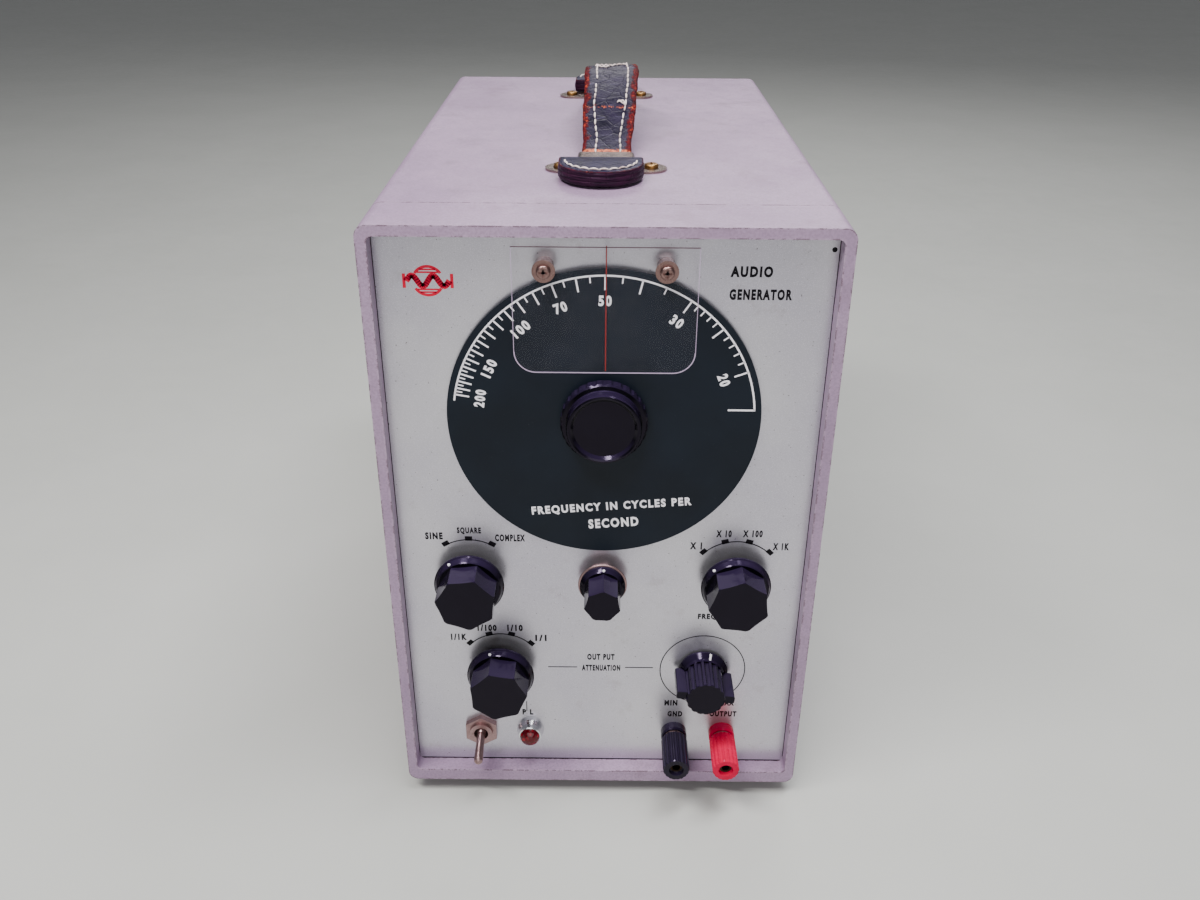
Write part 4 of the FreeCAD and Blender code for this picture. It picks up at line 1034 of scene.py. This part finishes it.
def strap_stitches():
    """Two rows of stitches on the strap's upper and lower faces, some missing above, and loose threads."""
    shape = bmesh.new()
    length_mm = (STRAP_ENDS[1] - STRAP_ENDS[0]) / MM
    count = int(length_mm / STITCH_PITCH)
    for face in (1, -1):
        for side in (-1, 1):
            for index in range(count):
                if face == 1 and chance.random() < MISSING_STITCHES:
                    continue
                first = (index + 0.08) / count
                last = (index + 0.86) / count
                inset = 6.2 if side < 0 else 5.4
                wander = 0.5 * math.sin(index * 0.5 + side)
                ends = []
                for share in (first, last):
                    offset = side * (strap_half_width(share) - inset) + wander
                    ends.append(strap_point(share, offset, face * (STRAP_HALF_THICKNESS + 0.1)))
                capsule(shape, ends[0], ends[1], STITCH_RADIUS * MM, strap_frame(first)[2] * face)
    for run in LOOSE_THREADS:
        for (share_a, offset_a), (share_b, offset_b) in zip(run, run[1:]):
            ends = [strap_point(share, offset, STRAP_HALF_THICKNESS + 0.3)
                    for share, offset in ((share_a, offset_a), (share_b, offset_b))]
            capsule(shape, ends[0], ends[1], LOOSE_RADIUS * MM, strap_frame(share_a)[2])
    return add_piece("strap_thread", shape, THREAD, "cabinet")


def tab_outline(radius, straight, inset, steps=40):
    """(x, y) points of a half-round tab in mm, y counted outward from its straight back edge."""
    back = min(inset, 0.5 * straight)
    points = [(radius - inset, back)]
    for step in range(steps + 1):
        turn = math.pi * step / steps
        points.append(((radius - inset) * math.cos(turn), straight + (radius - inset) * math.sin(turn)))
    points.append((-(radius - inset), back))
    return points


def tab_place(node, outward):
    """Radius, straight length and thickness of a tab in mm, and the foot of its back edge in metres."""
    low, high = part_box(node)
    radius = (high.x - low.x) / 2 / MM
    thick = (high.z - low.z) / MM
    if outward < 0:
        back_y = high.y - TAB_TONGUE * MM + TAB_TUCK * MM
        front_y = low.y
    else:
        back_y = low.y + TAB_TONGUE * MM - TAB_TUCK * MM
        front_y = high.y
    straight = max(0.0, abs(front_y - back_y) / MM - radius)
    return radius, straight, thick, ((high.x + low.x) / 2, back_y, low.z)


def tab_levels(thick):
    """(height, inset) up the grooved side of a tab of three layers and over its domed top, in mm."""
    return ((0.0, 1.2), (0.5, 0.3), (thick * 0.3, 0.0), (thick * 0.33, 0.28), (thick * 0.36, 0.0),
            (thick * 0.63, 0.0), (thick * 0.66, 0.28), (thick * 0.69, 0.0), (thick - 0.7, 0.25),
            (thick - 0.1, 1.1), (thick, 2.4), (thick + 0.12, 4.8), (thick + 0.2, 8.0), (thick + 0.22, 12.0))


def tab_leather(name, node, body, outward):
    """The strap's thick half-round end, built in layers with a domed top and rounded rims."""
    radius, straight, thick, (centre_x, back_y, foot_z) = tab_place(node, outward)
    shape = bmesh.new()
    edge_layer = shape.verts.layers.float.new("edge_distance")
    side_layer = shape.verts.layers.float.new("side")
    rings = []
    for level, inset in tab_levels(thick):
        ring = []
        for x, out in tab_outline(radius, straight, inset):
            wobble = 1 + 0.012 * noise.noise(Vector((x * 0.3, out * 0.3, level)))
            vertex = shape.verts.new((centre_x + x * wobble * MM, back_y + outward * out * wobble * MM,
                                      foot_z + level * MM))
            vertex[edge_layer] = 9 * MM if level < thick - 0.8 else (inset - 0.4) * MM
            vertex[side_layer] = 1.0 if level < thick - 0.4 else 0.0
            ring.append(vertex)
        rings.append(ring)
    skin(shape, rings)
    shape.faces.new(rings[0])
    shape.faces.new(rings[-1])
    tab = add_piece(name, shape, TAB_HIDE, body)
    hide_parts(node)


def tab_thread(name, node, body, outward):
    """The row of stitches along a tab's rim."""
    radius, straight, thick, (centre_x, back_y, foot_z) = tab_place(node, outward)
    shape = bmesh.new()
    top = foot_z + (thick + 0.15) * MM
    path = [Vector((centre_x + x * MM, back_y + outward * out * MM, top))
            for x, out in tab_outline(radius, straight, TAB_STITCH_INSET, 220)]
    travelled = 0.0
    start = None
    for here, after in zip(path, path[1:]):
        if start is None:
            start = here
        travelled += (after - here).length
        if travelled > TAB_STITCH_LENGTH * MM:
            capsule(shape, start, here, TAB_STITCH_RADIUS * MM, Vector((0, 0, 1)))
            travelled = 0.0
            start = None
    add_piece(name, shape, THREAD, body)


STRAP_HIDE = leather("strap_hide", ((15, 12, 26), (38, 31, 52)), 2.0, 2.9, 2.4,
                     band=((96, 16, 12), (214, 112, 70)))
TAB_HIDE = leather("tab_hide", ((16, 13, 32), (36, 30, 58)), 0.2, 0.6, 0.3, side=True)
THREAD = thread()

strap_pieces = [strap_leather(), strap_stitches()]
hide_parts("handle_strap")
for piece in strap_pieces:
    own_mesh(piece)
for end, outward in (("front", -1), ("rear", 1)):
    tab_leather(f"{end}_tab_leather", f"{end}_strap_tab", f"{end}_tab", outward)
    tab_thread(f"{end}_tab_thread", f"{end}_strap_tab", f"{end}_tab", outward)


# -------- camera, floor and lights

CAMERA_AT = (-0.0004, -0.5863, 0.4300)
CAMERA_LENS_MM = 32.55
CAMERA_SENSOR_MM = 36
CAMERA_YAW, CAMERA_PITCH, CAMERA_ROLL = math.radians(-0.17), math.radians(28.28), math.radians(0.40)


def camera():
    """The camera stands before and above the panel and looks down at it."""
    data = bpy.data.cameras.new("camera")
    data.lens = CAMERA_LENS_MM
    data.sensor_width = CAMERA_SENSOR_MM
    view = bpy.data.objects.new("camera", data)
    bpy.context.scene.collection.objects.link(view)
    turn = Matrix.Rotation(-CAMERA_YAW, 4, "Z") @ Matrix.Rotation(math.pi / 2 - CAMERA_PITCH, 4, "X")
    turn = turn @ Matrix.Rotation(CAMERA_ROLL, 4, "Z")
    view.matrix_world = Matrix.Translation(CAMERA_AT) @ turn
    bpy.context.scene.camera = view


def floor():
    """A wide pale floor with faint mottling."""
    shape = bmesh.new()
    bmesh.ops.create_grid(shape, x_segments=8, y_segments=8, size=7)
    mesh = bpy.data.meshes.new("floor")
    shape.to_mesh(mesh)
    shape.free()
    ground = bpy.data.objects.new("floor", mesh)
    bpy.context.scene.collection.objects.link(ground)
    pale = Finish("floor", Specular_Ior_Level=0.3)
    pale.colour(pale.blend(pale.noise(120, 4.0), linear(182, 183, 178), linear(192, 192, 188)))
    pale.rough(pale.between(pale.noise(20), 0.3, 0.7, 0.5, 0.65))
    mesh.materials.append(pale.material)


def area_light(name, at, target, size, power, colour=(1, 1, 1)):
    """A rectangular lamp at a place, turned to a target; lengths in metres, power in watts."""
    data = bpy.data.lights.new(name, "AREA")
    data.shape = "RECTANGLE"
    data.size, data.size_y = size
    data.energy = power
    data.color = colour
    lamp = bpy.data.objects.new(name, data)
    bpy.context.scene.collection.objects.link(lamp)
    lamp.location = at
    lamp.rotation_mode = "QUATERNION"
    lamp.rotation_quaternion = (Vector(target) - Vector(at)).to_track_quat("-Z", "Y")


WORLD_COLOUR = (0.86, 0.88, 0.92, 1)
WORLD_STRENGTH = 0.24


def lights():
    """Two long lamps above, weaker ones behind and low in front, and a dim even sky."""
    area_light("key", (-0.42, -0.62, 1.25), (0, -0.05, 0.15), (0.8, 0.16), 19, (1.0, 0.985, 0.97))
    area_light("second", (0.25, -0.3, 1.35), (0, -0.05, 0.15), (0.8, 0.16), 15, (0.97, 0.98, 1.0))
    area_light("back", (0.3, 1.3, 1.3), (0, 0, 0.15), (1.2, 0.5), 12)
    area_light("low", (0.1, -1.7, 0.75), (0, 0, 0.12), (1.6, 0.7), 9)
    world = bpy.data.worlds.new("studio")
    world.use_nodes = True
    world.node_tree.nodes["Background"].inputs[0].default_value = WORLD_COLOUR
    world.node_tree.nodes["Background"].inputs[1].default_value = WORLD_STRENGTH
    bpy.context.scene.world = world


camera()
floor()
lights()
